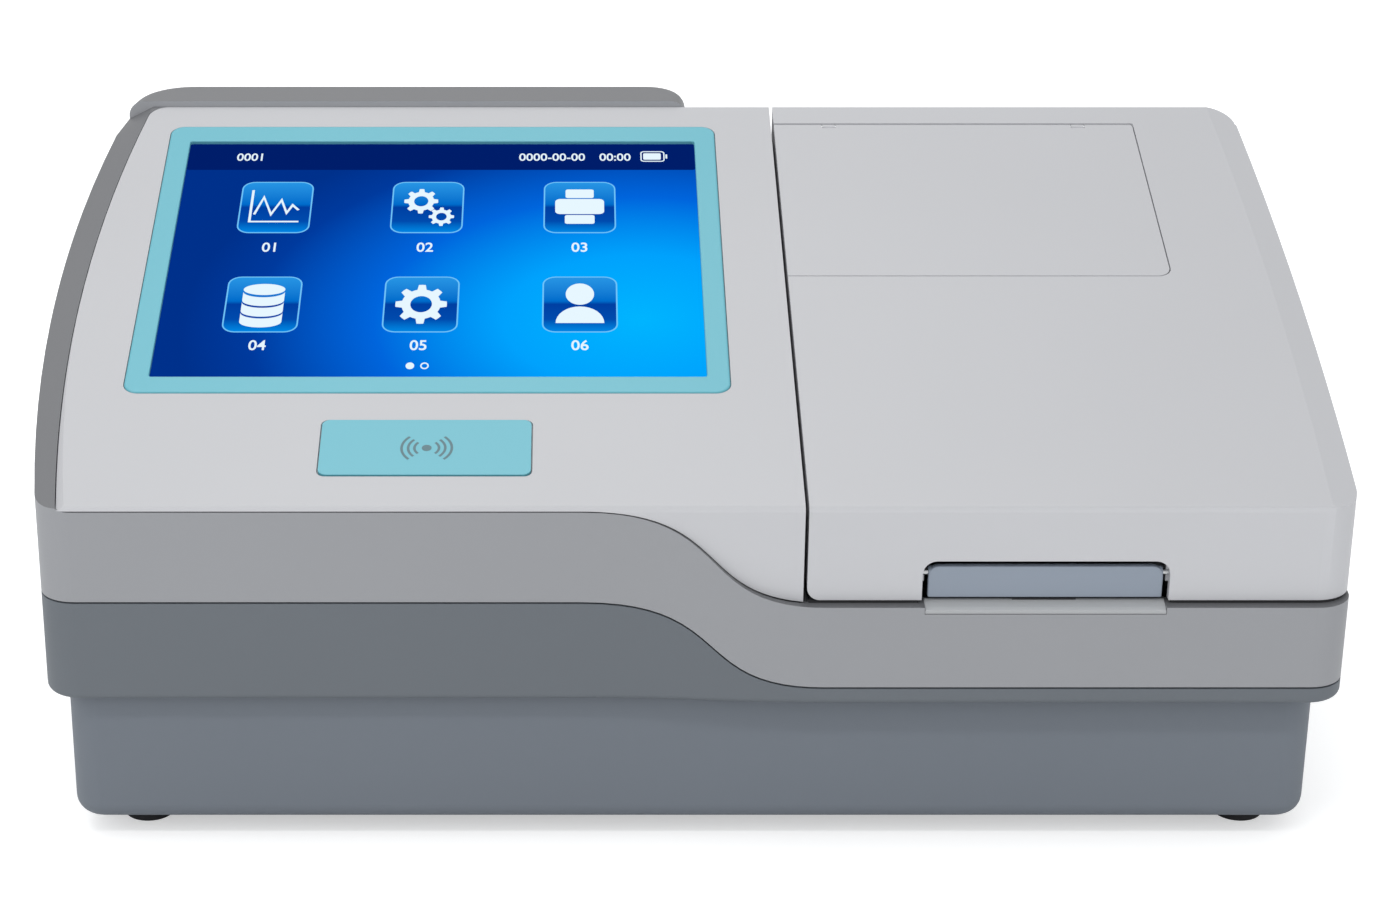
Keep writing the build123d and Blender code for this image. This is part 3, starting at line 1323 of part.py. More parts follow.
with BuildPart() as usb_ports:
    connector(usb_x, 6.6, 14.6, 18, 1.0)
    for z in (-3.5, 3.5):
        with Locations((usb_x, panel_face + 1, panel_mid_z + z)):
            Box(11.8, 22, 4.6, mode=Mode.SUBTRACT)
            with Locations((0, -6.5, 0.8)):
                Box(10.6, 9, 1.6)
usb_ports.part.label = "usb_ports"
export_step(usb_ports.part, "parts/usb_ports.step")

with BuildPart() as network_port:
    connector(network_x, 8.0, 13.5, 18, 1.0)
    with Locations((network_x, panel_face + 1, panel_mid_z - 1)):
        Box(11.8, 24, 8, mode=Mode.SUBTRACT)
    with Locations((network_x, panel_face + 1, panel_mid_z + 3.4)):
        Box(5.6, 24, 2, mode=Mode.SUBTRACT)
network_port.part.label = "network_port"
export_step(network_port.part, "parts/network_port.step")

with BuildPart() as serial_port:
    block((serial_x - 15.4, serial_x + 15.4), (panel_face, panel_face + 1), (panel_mid_z - 6.2, panel_mid_z + 6.2))
    connector(serial_x, 9.5, 10, 8, 0)
    with BuildSketch(Plane.XZ.offset(-panel_face)) as shell:
        with Locations((serial_x, panel_mid_z)):
            Trapezoid(17, 8.4, 80, rotation=180)
        fillet(shell.vertices(), 2)
    extrude(amount=5.5, dir=(0, 1, 0))
    with BuildSketch(Plane.XZ.offset(-panel_face - 5.5)) as cavity:
        with Locations((serial_x, panel_mid_z)):
            Trapezoid(15.6, 7.0, 80, rotation=180)
        fillet(cavity.vertices(), 1.4)
    extrude(amount=5, dir=(0, -1, 0), mode=Mode.SUBTRACT)
    with Locations(*[Plane.XZ.offset(-panel_face - 0.5) * Location((serial_x + x, panel_mid_z, 0)) for x in (-12.5, 12.5)]):
        Cylinder(2.4, 4, align=(Align.CENTER, Align.CENTER, Align.MAX))
serial_port.part.label = "serial_port"
export_step(serial_port.part, "parts/serial_port.step")

# Feet under the tub's corners
foot_radius = 10.5
with BuildPart() as feet:
    with Locations(*[(x, y, 0) for x in (-199, 199) for y in (-106, 106)]):
        Cone(foot_radius - 1.5, foot_radius, foot_height, align=(Align.CENTER, Align.CENTER, Align.MIN))
feet.part.label = "feet"
export_step(feet.part, "parts/feet.step")
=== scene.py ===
# %% [markdown]
# # A bench microplate reader, dressed for its portrait
# The frame holds the reader as its maker would build it: tub, skirt, shell, cover, lid and what is inside.
# This script leaves every one of those pieces where it is. It gives them their finish and draws the picture
# on the touchscreen. Where the photograph shows a form that the frame holds plainer, such as the lid's flank
# or the latch paddle, a new piece takes the node's place. X is to the right, Y to the back and Z up. Blender
# works in metres; lengths on the reader are written in millimetres and multiplied by MM at the last step.

# %% Load the frame
import json
from math import cos, pi, radians, sin, tan

import bmesh
import bpy
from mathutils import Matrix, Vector


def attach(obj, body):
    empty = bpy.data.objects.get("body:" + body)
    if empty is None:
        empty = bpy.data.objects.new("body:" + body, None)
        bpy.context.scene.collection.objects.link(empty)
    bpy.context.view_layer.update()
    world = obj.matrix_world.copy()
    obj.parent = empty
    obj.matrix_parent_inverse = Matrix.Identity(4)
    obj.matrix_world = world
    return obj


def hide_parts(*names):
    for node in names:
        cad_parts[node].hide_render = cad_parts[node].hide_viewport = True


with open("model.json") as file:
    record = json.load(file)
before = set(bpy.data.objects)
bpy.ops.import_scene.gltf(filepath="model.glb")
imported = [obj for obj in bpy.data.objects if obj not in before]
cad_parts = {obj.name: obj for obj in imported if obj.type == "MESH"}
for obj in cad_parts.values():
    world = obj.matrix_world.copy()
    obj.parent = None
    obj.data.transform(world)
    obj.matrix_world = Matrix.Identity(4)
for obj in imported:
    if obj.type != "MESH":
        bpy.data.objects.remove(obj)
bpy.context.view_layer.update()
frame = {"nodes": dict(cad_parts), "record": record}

nodes = frame["nodes"]
slots = {entry["node"]: entry["material_slot"] for entry in frame["record"]["subparts"]}
MM = 0.001

# %% [markdown]
# The photograph looks down on the reader from a little left of its middle. Its left and right halves aren't
# framed alike, which is a shifted lens and not a turned camera: upright edges stay upright beside each other.

# %% Camera
PHOTO_WIDTH = 1380
PHOTO_MIDDLE_X = 574          # pixel column under the lens axis
SENSOR_MM = 36.0
LENS_MM = 81.86
CAMERA_PLACE = (-0.0388, -1.1190, 0.5612)
CAMERA_TILT = radians(67.5)   # from straight down, so it looks 22.5 degrees below level
NEAREST_SEEN = 0.02

camera_data = bpy.data.cameras.new("portrait_camera")
camera_data.sensor_width = SENSOR_MM
camera_data.lens = LENS_MM
camera_data.shift_x = (PHOTO_WIDTH / 2 - PHOTO_MIDDLE_X) / PHOTO_WIDTH
camera_data.clip_start = NEAREST_SEEN
camera = bpy.data.objects.new("portrait_camera", camera_data)
camera.location = CAMERA_PLACE
camera.rotation_euler = (CAMERA_TILT, 0.0, 0.0)
bpy.context.scene.collection.objects.link(camera)
bpy.context.scene.camera = camera
bpy.context.scene.view_settings.view_transform = "Standard"
print("camera stands", round(camera.location.length, 3), "m from the middle of the foot")

# %% [markdown]
# Every finish below is a small graph of shader nodes. One helper starts a material and keeps it under its
# name, one makes a node with its values, and one makes the node that multiplies two colours.

# %% Helpers for node materials
MIX_FACTOR = 0                # the colour sockets of a Mix node go by number
MIX_FIRST = 6
MIX_SECOND = 7
MIX_RESULT = 2
finishes = {}                 # every finish by its name


def new_material(name):
    """An empty node material, its node tree and its output."""
    material = bpy.data.materials.new(name)
    finishes[name] = material
    material.use_nodes = True
    tree = material.node_tree
    tree.nodes.clear()
    output = tree.nodes.new("ShaderNodeOutputMaterial")
    return material, tree, output


def node(tree, kind, **values):
    """A shader node with some of its inputs or settings given by name."""
    made = tree.nodes.new("ShaderNode" + kind)
    for key, value in values.items():
        label = key.replace("_", " ")
        if label in made.inputs:
            made.inputs[label].default_value = value
        else:
            setattr(made, key, value)
    return made


def multiply(tree, colour):
    """A Mix node that multiplies a colour by what is linked to its second socket."""
    mix = node(tree, "Mix", data_type="RGBA", blend_type="MULTIPLY")
    mix.inputs[MIX_FACTOR].default_value = 1.0
    mix.inputs[MIX_FIRST].default_value = (*colour, 1)
    return mix


print("helpers ready")

# %% [markdown]
# ## The studio
# A product on white needs three things: a floor that is white to the eye but still takes the soft shadow
# under the feet, a broad light from above that grades the top from front to back, and enough light from all
# round that the front stays readable. The floor is a real pale floor for every ray that lights the reader,
# and its extra glow is only what the camera sees. The world works the same way: bright where it is seen or
# reflected, and dimmer where it lights.

# %% Floor and world
FLOOR_HALF = 6.0
FLOOR_GREY = 0.80
FLOOR_GLOW = 0.48
WORLD_LIGHT = 0.55
WORLD_COLOUR = (0.96, 0.98, 1.0)

floor_bm = bmesh.new()
bmesh.ops.create_grid(floor_bm, x_segments=1, y_segments=1, size=FLOOR_HALF)
floor_mesh = bpy.data.meshes.new("floor")
floor_bm.to_mesh(floor_mesh)
floor_bm.free()
floor = bpy.data.objects.new("floor", floor_mesh)
bpy.context.scene.collection.objects.link(floor)

floor_material, tree, output = new_material("studio_floor")
link = tree.links.new
floor_shader = node(tree, "BsdfPrincipled", Roughness=0.7)
floor_shader.inputs["Base Color"].default_value = (FLOOR_GREY, FLOOR_GREY, FLOOR_GREY, 1)
floor_shader.inputs["Specular IOR Level"].default_value = 0.2
floor_glow = node(tree, "Emission", Strength=FLOOR_GLOW)
floor_sum = node(tree, "AddShader")
seen = node(tree, "LightPath")
floor_mix = node(tree, "MixShader")
link(floor_shader.outputs[0], floor_sum.inputs[0])
link(floor_glow.outputs[0], floor_sum.inputs[1])
link(seen.outputs["Is Camera Ray"], floor_mix.inputs[0])
link(floor_shader.outputs[0], floor_mix.inputs[1])
link(floor_sum.outputs[0], floor_mix.inputs[2])
link(floor_mix.outputs[0], output.inputs["Surface"])
floor_mesh.materials.append(floor_material)

world = bpy.data.worlds.new("studio_world")
bpy.context.scene.world = world
world.use_nodes = True
tree = world.node_tree
tree.nodes.clear()
link = tree.links.new
world_output = tree.nodes.new("ShaderNodeOutputWorld")
world_fill = node(tree, "Background", Strength=WORLD_LIGHT)
world_fill.inputs["Color"].default_value = (*WORLD_COLOUR, 1)
world_seen = node(tree, "Background", Strength=1.0)
seen = node(tree, "LightPath")
direct = node(tree, "Math", operation="ADD", use_clamp=True)
direct_all = node(tree, "Math", operation="ADD", use_clamp=True)
world_mix = node(tree, "MixShader")
link(seen.outputs["Is Camera Ray"], direct.inputs[0])
link(seen.outputs["Is Glossy Ray"], direct.inputs[1])
link(direct.outputs[0], direct_all.inputs[0])
link(seen.outputs["Is Transmission Ray"], direct_all.inputs[1])
link(direct_all.outputs[0], world_mix.inputs[0])
link(world_fill.outputs[0], world_mix.inputs[1])
link(world_seen.outputs[0], world_mix.inputs[2])
link(world_mix.outputs[0], world_output.inputs["Surface"])
print("floor", 2 * FLOOR_HALF, "m wide")

# %% [markdown]
# Four lamps light the reader. A large box above and one at each side in front are the soft light. A narrow
# strip high in front draws a light line along the edges that face it.

# %% Lamps
READER_MIDDLE = (0.0, 0.0, 0.1)
TOP_MIDDLE = (0.0, -0.10, 0.12)
LAMPS = (                     # name, place, what it looks at, size in metres, watts
    ("overhead_box", (-0.3, 0.35, 1.9), READER_MIDDLE, (1.8, 1.4), 22.0),
    ("front_left_box", (-1.5, -1.6, 1.3), READER_MIDDLE, (1.2, 1.2), 13.0),
    ("front_right_box", (1.7, -1.2, 0.9), READER_MIDDLE, (1.0, 1.0), 5.0),
    ("edge_strip", (0.0, -0.80, 1.20), TOP_MIDDLE, (2.4, 0.10), 5.0),
)


def soft_box(name, place, target, size, watts):
    """A rectangular area lamp that looks at a target point."""
    data = bpy.data.lights.new(name, "AREA")
    data.shape = "RECTANGLE"
    data.size, data.size_y = size
    data.energy = watts
    lamp = bpy.data.objects.new(name, data)
    lamp.location = place
    lamp.rotation_euler = (Vector(target) - Vector(place)).to_track_quat("-Z", "Y").to_euler()
    bpy.context.scene.collection.objects.link(lamp)


for lamp_values in LAMPS:
    soft_box(*lamp_values)

# %% [markdown]
# ## Moulded plastics
# The housing is injection moulded. Such a skin is never one flat colour: the tool has a fine spark-eroded
# texture that breaks up reflections, and the colour drifts a little over a large panel. One function makes
# every moulded finish from a colour, a roughness and the depth of that texture, so the family looks related.
# The top faces are darker than so broad a light from above would leave them, so a finish can also paint that
# shade into its colour and darken what faces up.

# %% Moulded plastic
GRAIN_PER_METRE = 2600.0      # spark-eroded texture, a little under half a millimetre
GRAIN_DEPTH = 0.2 * MM
GRAIN_GLOSS = 0.05            # how far the texture moves the roughness
DRIFT_PER_METRE = 7.0         # slow change of tone across a panel
TOP_SHADE_FROM = 0.25            # the normal's Z where the darkening of top faces starts
TOP_SHADE_FULL = 0.85


def textured(tree, shader, fine, roughness, spread, strength, depth):
    """Let one fine texture vary the roughness and the surface of a shader."""
    gloss = node(tree, "MapRange", To_Min=roughness - spread, To_Max=roughness + spread)
    bump = node(tree, "Bump", Strength=strength, Distance=depth)
    tree.links.new(fine.outputs["Fac"], gloss.inputs["Value"])
    tree.links.new(gloss.outputs["Result"], shader.inputs["Roughness"])
    tree.links.new(fine.outputs["Fac"], bump.inputs["Height"])
    tree.links.new(bump.outputs["Normal"], shader.inputs["Normal"])


def moulded(name, colour, roughness=0.5, grain=0.05, drift=0.03, specular=0.4, painted_top_shade=1.0):
    """Moulded plastic with a fine tool texture and a slow drift of tone; its last argument paints shade on
    what faces up.
    """
    tree, output = new_material(name)[1:]
    link = tree.links.new
    shader = node(tree, "BsdfPrincipled")
    shader.inputs["Specular IOR Level"].default_value = specular
    place = node(tree, "TexCoord")
    slow = node(tree, "TexNoise", Scale=DRIFT_PER_METRE, Detail=3.0)
    fine = node(tree, "TexNoise", Scale=GRAIN_PER_METRE, Detail=2.0)
    tone = node(tree, "MapRange", To_Min=1.0 - drift, To_Max=1.0 + drift)
    tint = multiply(tree, colour)
    # painted shade: the colour is darkened the more the surface faces up
    if painted_top_shade < 1.0:
        facing = node(tree, "NewGeometry")
        parts = node(tree, "SeparateXYZ")
        shade = node(tree, "MapRange", From_Min=TOP_SHADE_FROM, From_Max=TOP_SHADE_FULL, To_Min=1.0, To_Max=painted_top_shade)
        dim = multiply(tree, colour)
        link(facing.outputs["Normal"], parts.inputs[0])
        link(parts.outputs["Z"], shade.inputs["Value"])
        link(shade.outputs["Result"], dim.inputs[MIX_SECOND])
        link(dim.outputs[MIX_RESULT], tint.inputs[MIX_FIRST])
    link(place.outputs["Object"], slow.inputs["Vector"])
    link(place.outputs["Object"], fine.inputs["Vector"])
    link(slow.outputs["Fac"], tone.inputs["Value"])
    link(tone.outputs["Result"], tint.inputs[MIX_SECOND])
    link(tint.outputs[MIX_RESULT], shader.inputs["Base Color"])
    textured(tree, shader, fine, roughness, GRAIN_GLOSS, grain, GRAIN_DEPTH)
    link(shader.outputs[0], output.inputs["Surface"])


# the light and mid plastics carry painted shade on their top faces
moulded("light_plastic", (0.54, 0.543, 0.563), roughness=0.4, painted_top_shade=0.74)
moulded("mid_plastic", (0.302, 0.308, 0.325), roughness=0.42, painted_top_shade=0.42)
moulded("slate_plastic", (0.13, 0.146, 0.164))
moulded("tub_plastic", (0.155, 0.176, 0.205))
moulded("teal_plastic", (0.102, 0.355, 0.425), roughness=0.36, grain=0.03)
moulded("paddle_plastic", (0.26, 0.30, 0.36), roughness=0.42, grain=0.03)
moulded("scoop_plastic", (0.40, 0.41, 0.42))
moulded("black_plastic", (0.028, 0.028, 0.03), roughness=0.45)
moulded("black_rubber", (0.03, 0.03, 0.032), roughness=0.75, grain=0.12, specular=0.25)
moulded("print_grey", (0.085, 0.155, 0.175), roughness=0.6)
moulded("circuit_board", (0.02, 0.15, 0.08), roughness=0.3, grain=0.02)
moulded("screen_module", (0.01, 0.012, 0.016), roughness=0.3)
print("finishes so far", len(finishes))

# %% [markdown]
# ## Metals and glass
# Inside the bay the eye finds plated sheet steel, ground rods, machined and anodised aluminium. A metal's
# colour comes from what it reflects, so what tells them apart is how rough each one is and in what direction.

# %% Metals and glass
METAL_DEPTH = 0.1 * MM
METAL_BUMP = 0.04
METAL_GLOSS = 0.07            # how far the texture moves the roughness


def metal(name, colour, roughness, streak=(1.0, 1.0, 1.0), scale=900.0, metallic=1.0):
    """Bare or plated metal with a brushed, ground or blasted texture; streak stretches the texture's axes."""
    tree, output = new_material(name)[1:]
    shader = node(tree, "BsdfPrincipled", Metallic=metallic)
    shader.inputs["Base Color"].default_value = (*colour, 1)
    place = node(tree, "TexCoord")
    mapping = node(tree, "Mapping")
    mapping.inputs["Scale"].default_value = streak
    fine = node(tree, "TexNoise", Scale=scale, Detail=3.0)
    tree.links.new(place.outputs["Object"], mapping.inputs["Vector"])
    tree.links.new(mapping.outputs["Vector"], fine.inputs["Vector"])
    textured(tree, shader, fine, roughness, METAL_GLOSS, METAL_BUMP, METAL_DEPTH)
    tree.links.new(shader.outputs[0], output.inputs["Surface"])


def clear(name, colour):
    """Clear glass or a coated filter."""
    tree, output = new_material(name)[1:]
    shader = node(tree, "BsdfPrincipled", Roughness=0.02, IOR=1.46)
    shader.inputs["Base Color"].default_value = (*colour, 1)
    shader.inputs["Transmission Weight"].default_value = 1.0
    tree.links.new(shader.outputs[0], output.inputs["Surface"])


metal("ground_steel", (0.62, 0.63, 0.64), 0.22, streak=(0.03, 1.0, 1.0))
metal("sheet_steel", (0.56, 0.58, 0.60), 0.38, scale=300.0)
metal("plain_aluminium", (0.74, 0.75, 0.76), 0.33, streak=(1.0, 0.05, 1.0))
metal("dark_aluminium", (0.045, 0.045, 0.05), 0.42, scale=2400.0, metallic=0.6)
metal("bearing_bronze", (0.62, 0.42, 0.20), 0.4, scale=2400.0)
metal("motor_paint", (0.03, 0.03, 0.034), 0.4, metallic=0.1)
clear("screen_glass", (0.97, 0.98, 1.0))
clear("clear_glass", (0.95, 0.97, 1.0))
clear("filter_glass", (0.55, 0.30, 0.75))
print("finishes so far", len(finishes))

# %% [markdown]
# Each node of the frame names a material slot in its record, and the finishes above have the slots' names.
# So dressing the frame is one loop. The frame's meshes are loose triangles: a Weld modifier joins them, a
# small Bevel breaks every sharp edge as a real tool does, and a weighted normal keeps the flats flat. The
# meshes themselves aren't touched. The latch keeper is painted black as shade, to stand for the shaded gap
# beside the paddle.

# %% Dress the frame's nodes
EDGE_BREAK = 0.4 * MM
BREAK_ANGLE = radians(32)
TOUCHING = 0.002 * MM         # points nearer than this are one point
MOULDED_NODES = ("top_cover", "lower_skirt", "display_bezel", "contactless_pad", "lid_hatch")


def soften(piece, width):
    """Join the triangles, break the sharp edges and keep the flats flat, all in modifiers."""
    weld = piece.modifiers.new("weld", "WELD")
    weld.merge_threshold = TOUCHING
    bevel = piece.modifiers.new("edge_break", "BEVEL")
    bevel.width = width
    bevel.segments = 2
    bevel.limit_method = "ANGLE"
    bevel.angle_limit = BREAK_ANGLE
    bevel.miter_outer = "MITER_ARC"
    bevel.harden_normals = False
    normals = piece.modifiers.new("flat_faces", "WEIGHTED_NORMAL")
    normals.keep_sharp = True


# the latch keeper's black is painted shade for the gap beside the paddle
for name, slot in (slots | {"latch_keeper": "black_plastic"}).items():
    materials = nodes[name].data.materials
    materials.clear()
    materials.append(finishes[slot])
for name in MOULDED_NODES:
    soften(nodes[name], EDGE_BREAK)
print("dressed", len(nodes), "nodes")

# %% [markdown]
# ## The touchscreen's picture
# The screen is on, so its picture gives light. It is drawn in flat layers a few hundredths of a millimetre
# thick on the glass: the blue ground, a dark bar at the top, six glassy tiles, white pictograms on the tiles,
# and plain numbers. The layers lie on the sloping top, so one function turns a place on that slope, measured
# across, up the slope and away from it, into a place in the room.

# %% Places on the sloping top
SLOPE = radians(15.5)
TOP_FRONT_Y = -136.5          # front edge of the top, in millimetres
TOP_FRONT_Z = 133.5
LAYER = 0.04                  # thickness of each painted layer
STRETCH = 1.3                 # the picture is drawn this much taller than wide
LEAST_MITRE = 0.35            # keeps a stroke's sharp corner from running far out


def on_top(x, run, lift):
    """A place on the sloping top, from millimetres across, up the slope and away from it."""
    y = TOP_FRONT_Y + run * cos(SLOPE) - lift * sin(SLOPE)
    z = TOP_FRONT_Z + run * sin(SLOPE) + lift * cos(SLOPE)
    return Vector((x, y, z)) * MM


def slab(bm, outline, low, high):
    """A flat plate on the slope from an outline, between two lifts, with its box as its UV map."""
    uv = bm.loops.layers.uv.verify()
    xs = [x for x, run in outline]
    runs = [run for x, run in outline]
    count = len(outline)
    under = [bm.verts.new(on_top(x, run, low)) for x, run in outline]
    over = [bm.verts.new(on_top(x, run, high)) for x, run in outline]
    faces = [bm.faces.new(over), bm.faces.new(list(reversed(under)))]
    for i in range(count):
        j = (i + 1) % count
        faces.append(bm.faces.new((under[i], under[j], over[j], over[i])))
    place = {vert: point for vert, point in zip(under + over, outline + outline)}
    for face in faces:
        for loop in face.loops:
            x, run = place[loop.vert]
            loop[uv].uv = (
                (x - min(xs)) / (max(xs) - min(xs)),
                (run - min(runs)) / (max(runs) - min(runs)),
            )


def band(bm, outer, inner, low, high):
    """A flat ring on the slope between two outlines with as many points each."""
    bm.loops.layers.uv.verify()
    loops = []
    for outline in (outer, inner):
        loops.append([bm.verts.new(on_top(x, run, low)) for x, run in outline])
        loops.append([bm.verts.new(on_top(x, run, high)) for x, run in outline])
    outer_low, outer_high, inner_low, inner_high = loops
    count = len(outer)
    for i in range(count):
        j = (i + 1) % count
        bm.faces.new((outer_low[i], outer_low[j], outer_high[j], outer_high[i]))
        bm.faces.new((inner_low[j], inner_low[i], inner_high[i], inner_high[j]))
        bm.faces.new((outer_high[i], outer_high[j], inner_high[j], inner_high[i]))
        bm.faces.new((outer_low[j], outer_low[i], inner_low[i], inner_low[j]))


def polar(x, run, radius, angle, stretch=1.0):
    """The point at an angle and a distance from another, higher when stretched."""
    return x + radius * cos(angle), run + stretch * radius * sin(angle)


def ring_points(x, run, radius, count=40, stretch=1.0):
    """Points round a circle, or an ellipse when stretched."""
    return [polar(x, run, radius, 2 * pi * i / count, stretch) for i in range(count)]


def half_ring(x, run, radius, rise, start=0.0):
    """Points along half an ellipse, turning left from a start angle."""
    steps = 16
    return [polar(x, run, radius, start + pi * i / steps, rise / radius) for i in range(steps + 1)]


def rounded(x, run, width, height, radius, steps=6):
    """Outline of a rectangle with round corners about its middle."""
    points = []
    for quarter, (sx, sy) in enumerate(((1, 1), (-1, 1), (-1, -1), (1, -1))):
        corner_x = x + sx * (width / 2 - radius)
        corner_run = run + sy * (height / 2 - radius)
        for step in range(steps + 1):
            points.append(polar(corner_x, corner_run, radius, pi / 2 * (quarter + step / steps)))
    return points


def stroke(bm, points, width, low, high):
    """A pen stroke through some points, mitred at its corners."""
    left, right = [], []
    last = len(points) - 1
    for i in range(len(points)):
        before = Vector(points[max(i - 1, 0)])
        here = Vector(points[i])
        after = Vector(points[min(i + 1, last)])
        turn_in = (here - before).normalized() if i > 0 else (after - here).normalized()
        turn_out = (after - here).normalized() if i < last else turn_in
        across = Vector((-(turn_in.y + turn_out.y), turn_in.x + turn_out.x)).normalized()
        reach = width / 2 / max(LEAST_MITRE, across.dot(Vector((-turn_in.y, turn_in.x))))
        left.append(tuple(here + across * reach))
        right.append(tuple(here - across * reach))
    for i in range(last):
        slab(bm, [right[i], right[i + 1], left[i + 1], left[i]], low, high)


def finished(bm, name, finish, body="housing"):
    """Turn a bmesh into a piece of the reader, with its finish, on its body and in its slot."""
    bmesh.ops.remove_doubles(bm, verts=bm.verts, dist=TOUCHING)
    bmesh.ops.recalc_face_normals(bm, faces=bm.faces)
    mesh = bpy.data.meshes.new(name)
    bm.to_mesh(mesh)
    bm.free()
    mesh.materials.append(finishes[finish])
    piece = bpy.data.objects.new(name, mesh)
    bpy.context.scene.collection.objects.link(piece)
    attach(piece, body)
    return piece


print("the top rises", round(on_top(0, 100, 0).z / MM - TOP_FRONT_Z, 1), "mm in 100")

# %% [markdown]
# Lit colours are plain emission, so lamps don't wash them out. The ground is brightest at one place and
# falls to navy with the distance from it. A tile is graded from its foot to its head, with a step in the
# middle where its gloss starts, which its own UV map places.

# %% Lit colours
GLASS_FACE = -1.0             # the glass's face, as a lift above the top's plane
GLOW_X = -14.0                # the brightest place of the blue ground
GLOW_RUN = 112.0
GLOW_REACH = 170.0
GLOW_SQUASH = 1.25            # the glow falls off this much faster up the slope
GROUND_STOPS = (
    (0.0, (0.0, 0.46, 1.0)),
    (0.30, (0.0, 0.36, 0.98)),
    (0.58, (0.0, 0.13, 0.72)),
    (0.85, (0.0, 0.042, 0.34)),
    (1.0, (0.0, 0.030, 0.26)),
)
TILE_STOPS = (
    (0.0, (0.0, 0.24, 0.78)),
    (0.22, (0.0, 0.07, 0.42)),
    (0.5, (0.0, 0.05, 0.36)),
    (0.56, (0.0, 0.15, 0.60)),
    (1.0, (0.02, 0.30, 0.78)),
)


def lit(name, colour):
    """A colour that the screen gives off."""
    tree, output = new_material(name)[1:]
    shader = node(tree, "Emission", Strength=1.0)
    shader.inputs["Color"].default_value = (*colour, 1)
    tree.links.new(shader.outputs[0], output.inputs["Surface"])
    return tree, shader


def ramp(tree, stops):
    """A colour ramp from places and colours."""
    made = node(tree, "ValToRGB")
    elements = made.color_ramp.elements
    while len(elements) < len(stops):
        elements.new(0.5)
    for element, (place, colour) in zip(elements, stops):
        element.position = place
        element.color = (*colour, 1)
    return made


tree, shader = lit("screen_ground", (0.0, 0.03, 0.3))
place = node(tree, "TexCoord")
shift = node(tree, "Mapping")
glow = on_top(GLOW_X, GLOW_RUN, GLASS_FACE)
across_scale = 1 / (GLOW_REACH * MM)
along_scale = GLOW_SQUASH / (GLOW_REACH * MM)
shift.inputs["Location"].default_value = (-glow.x * across_scale, -glow.y * along_scale, 0.0)
shift.inputs["Scale"].default_value = (across_scale, along_scale, 0.0)
away = node(tree, "VectorMath", operation="LENGTH")
blues = ramp(tree, GROUND_STOPS)
tree.links.new(place.outputs["Object"], shift.inputs["Vector"])
tree.links.new(shift.outputs["Vector"], away.inputs[0])
tree.links.new(away.outputs["Value"], blues.inputs[0])
tree.links.new(blues.outputs["Color"], shader.inputs["Color"])

tree, shader = lit("tile_blue", (0.0, 0.1, 0.5))
tile_map = node(tree, "UVMap")
tile_parts = node(tree, "SeparateXYZ")
tile_tones = ramp(tree, TILE_STOPS)
tree.links.new(tile_map.outputs["UV"], tile_parts.inputs[0])
tree.links.new(tile_parts.outputs["Y"], tile_tones.inputs[0])
tree.links.new(tile_tones.outputs["Color"], shader.inputs["Color"])

lit("bar_navy", (0.0, 0.0125, 0.145))
lit("tile_rim", (0.16, 0.56, 0.95))
lit("picture_white", (0.80, 0.93, 1.0))
print("finishes in all", len(finishes))

# %% [markdown]
# The glass is one piece with two steps: a wide sheet behind the window, and the face that fills it. The
# dark bar lies along its upper edge.

# %% Glass with the picture's ground
SCREEN_X = -91.4              # middle of the screen's window
SCREEN_RUN = 153.65
WINDOW = (201.2, 157.5)
WINDOW_FIT = 0.1
GLASS = (205.4, 161.6)
GLASS_LOW = -4.3
GLASS_SHOULDER = -2.5
BAR_HEIGHT = 18.8
face_width, face_height = (side - 2 * WINDOW_FIT for side in WINDOW)
window_top = SCREEN_RUN + WINDOW[1] / 2 - WINDOW_FIT

bm = bmesh.new()
slab(bm, rounded(SCREEN_X, SCREEN_RUN, *GLASS, 0.5, 2), GLASS_LOW, GLASS_SHOULDER)
slab(bm, rounded(SCREEN_X, SCREEN_RUN, face_width, face_height, 1.0, 3), GLASS_SHOULDER, GLASS_FACE)
glass = finished(bm, "touchscreen", "screen_ground")
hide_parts("display_glass")

bm = bmesh.new()
bar = rounded(SCREEN_X, window_top - BAR_HEIGHT / 2, face_width, BAR_HEIGHT, 0.9, 3)
slab(bm, bar, GLASS_FACE, GLASS_FACE + LAYER)
finished(bm, "screen_bar", "bar_navy")
print("screen", round(face_width, 1), "by", round(face_height, 1), "mm")

# %% [markdown]
# Six tiles stand in two rows. Each has a thin light rim that stands one layer prouder than its face.

# %% Tiles
TILE = (28.0, 35.8)
TILE_CORNER = 5.0
TILE_LINE = 0.55
TILE_COLUMNS = (-154.7, -95.7, -36.6)
TILE_ROWS = (186.8, 121.7)
tile_places = [(x, run) for run in TILE_ROWS for x in TILE_COLUMNS]
rims = bmesh.new()
faces = bmesh.new()
for x, run in tile_places:
    outer = rounded(x, run, TILE[0], TILE[1], TILE_CORNER)
    inner = rounded(x, run, TILE[0] - 2 * TILE_LINE, TILE[1] - 2 * TILE_LINE, TILE_CORNER - TILE_LINE)
    band(rims, outer, inner, GLASS_FACE, GLASS_FACE + 2 * LAYER)
    slab(faces, inner, GLASS_FACE, GLASS_FACE + LAYER)
finished(rims, "tile_rims", "tile_rim")
finished(faces, "tile_faces", "tile_blue")
print("tiles", len(tile_places))

# %% [markdown]
# The six pictograms are drawn from scratch: a curve on axes, two cogs, a printer, a stack of discs, one cog
# and a head with shoulders. Their sizes are millimetres from the middle of each tile.

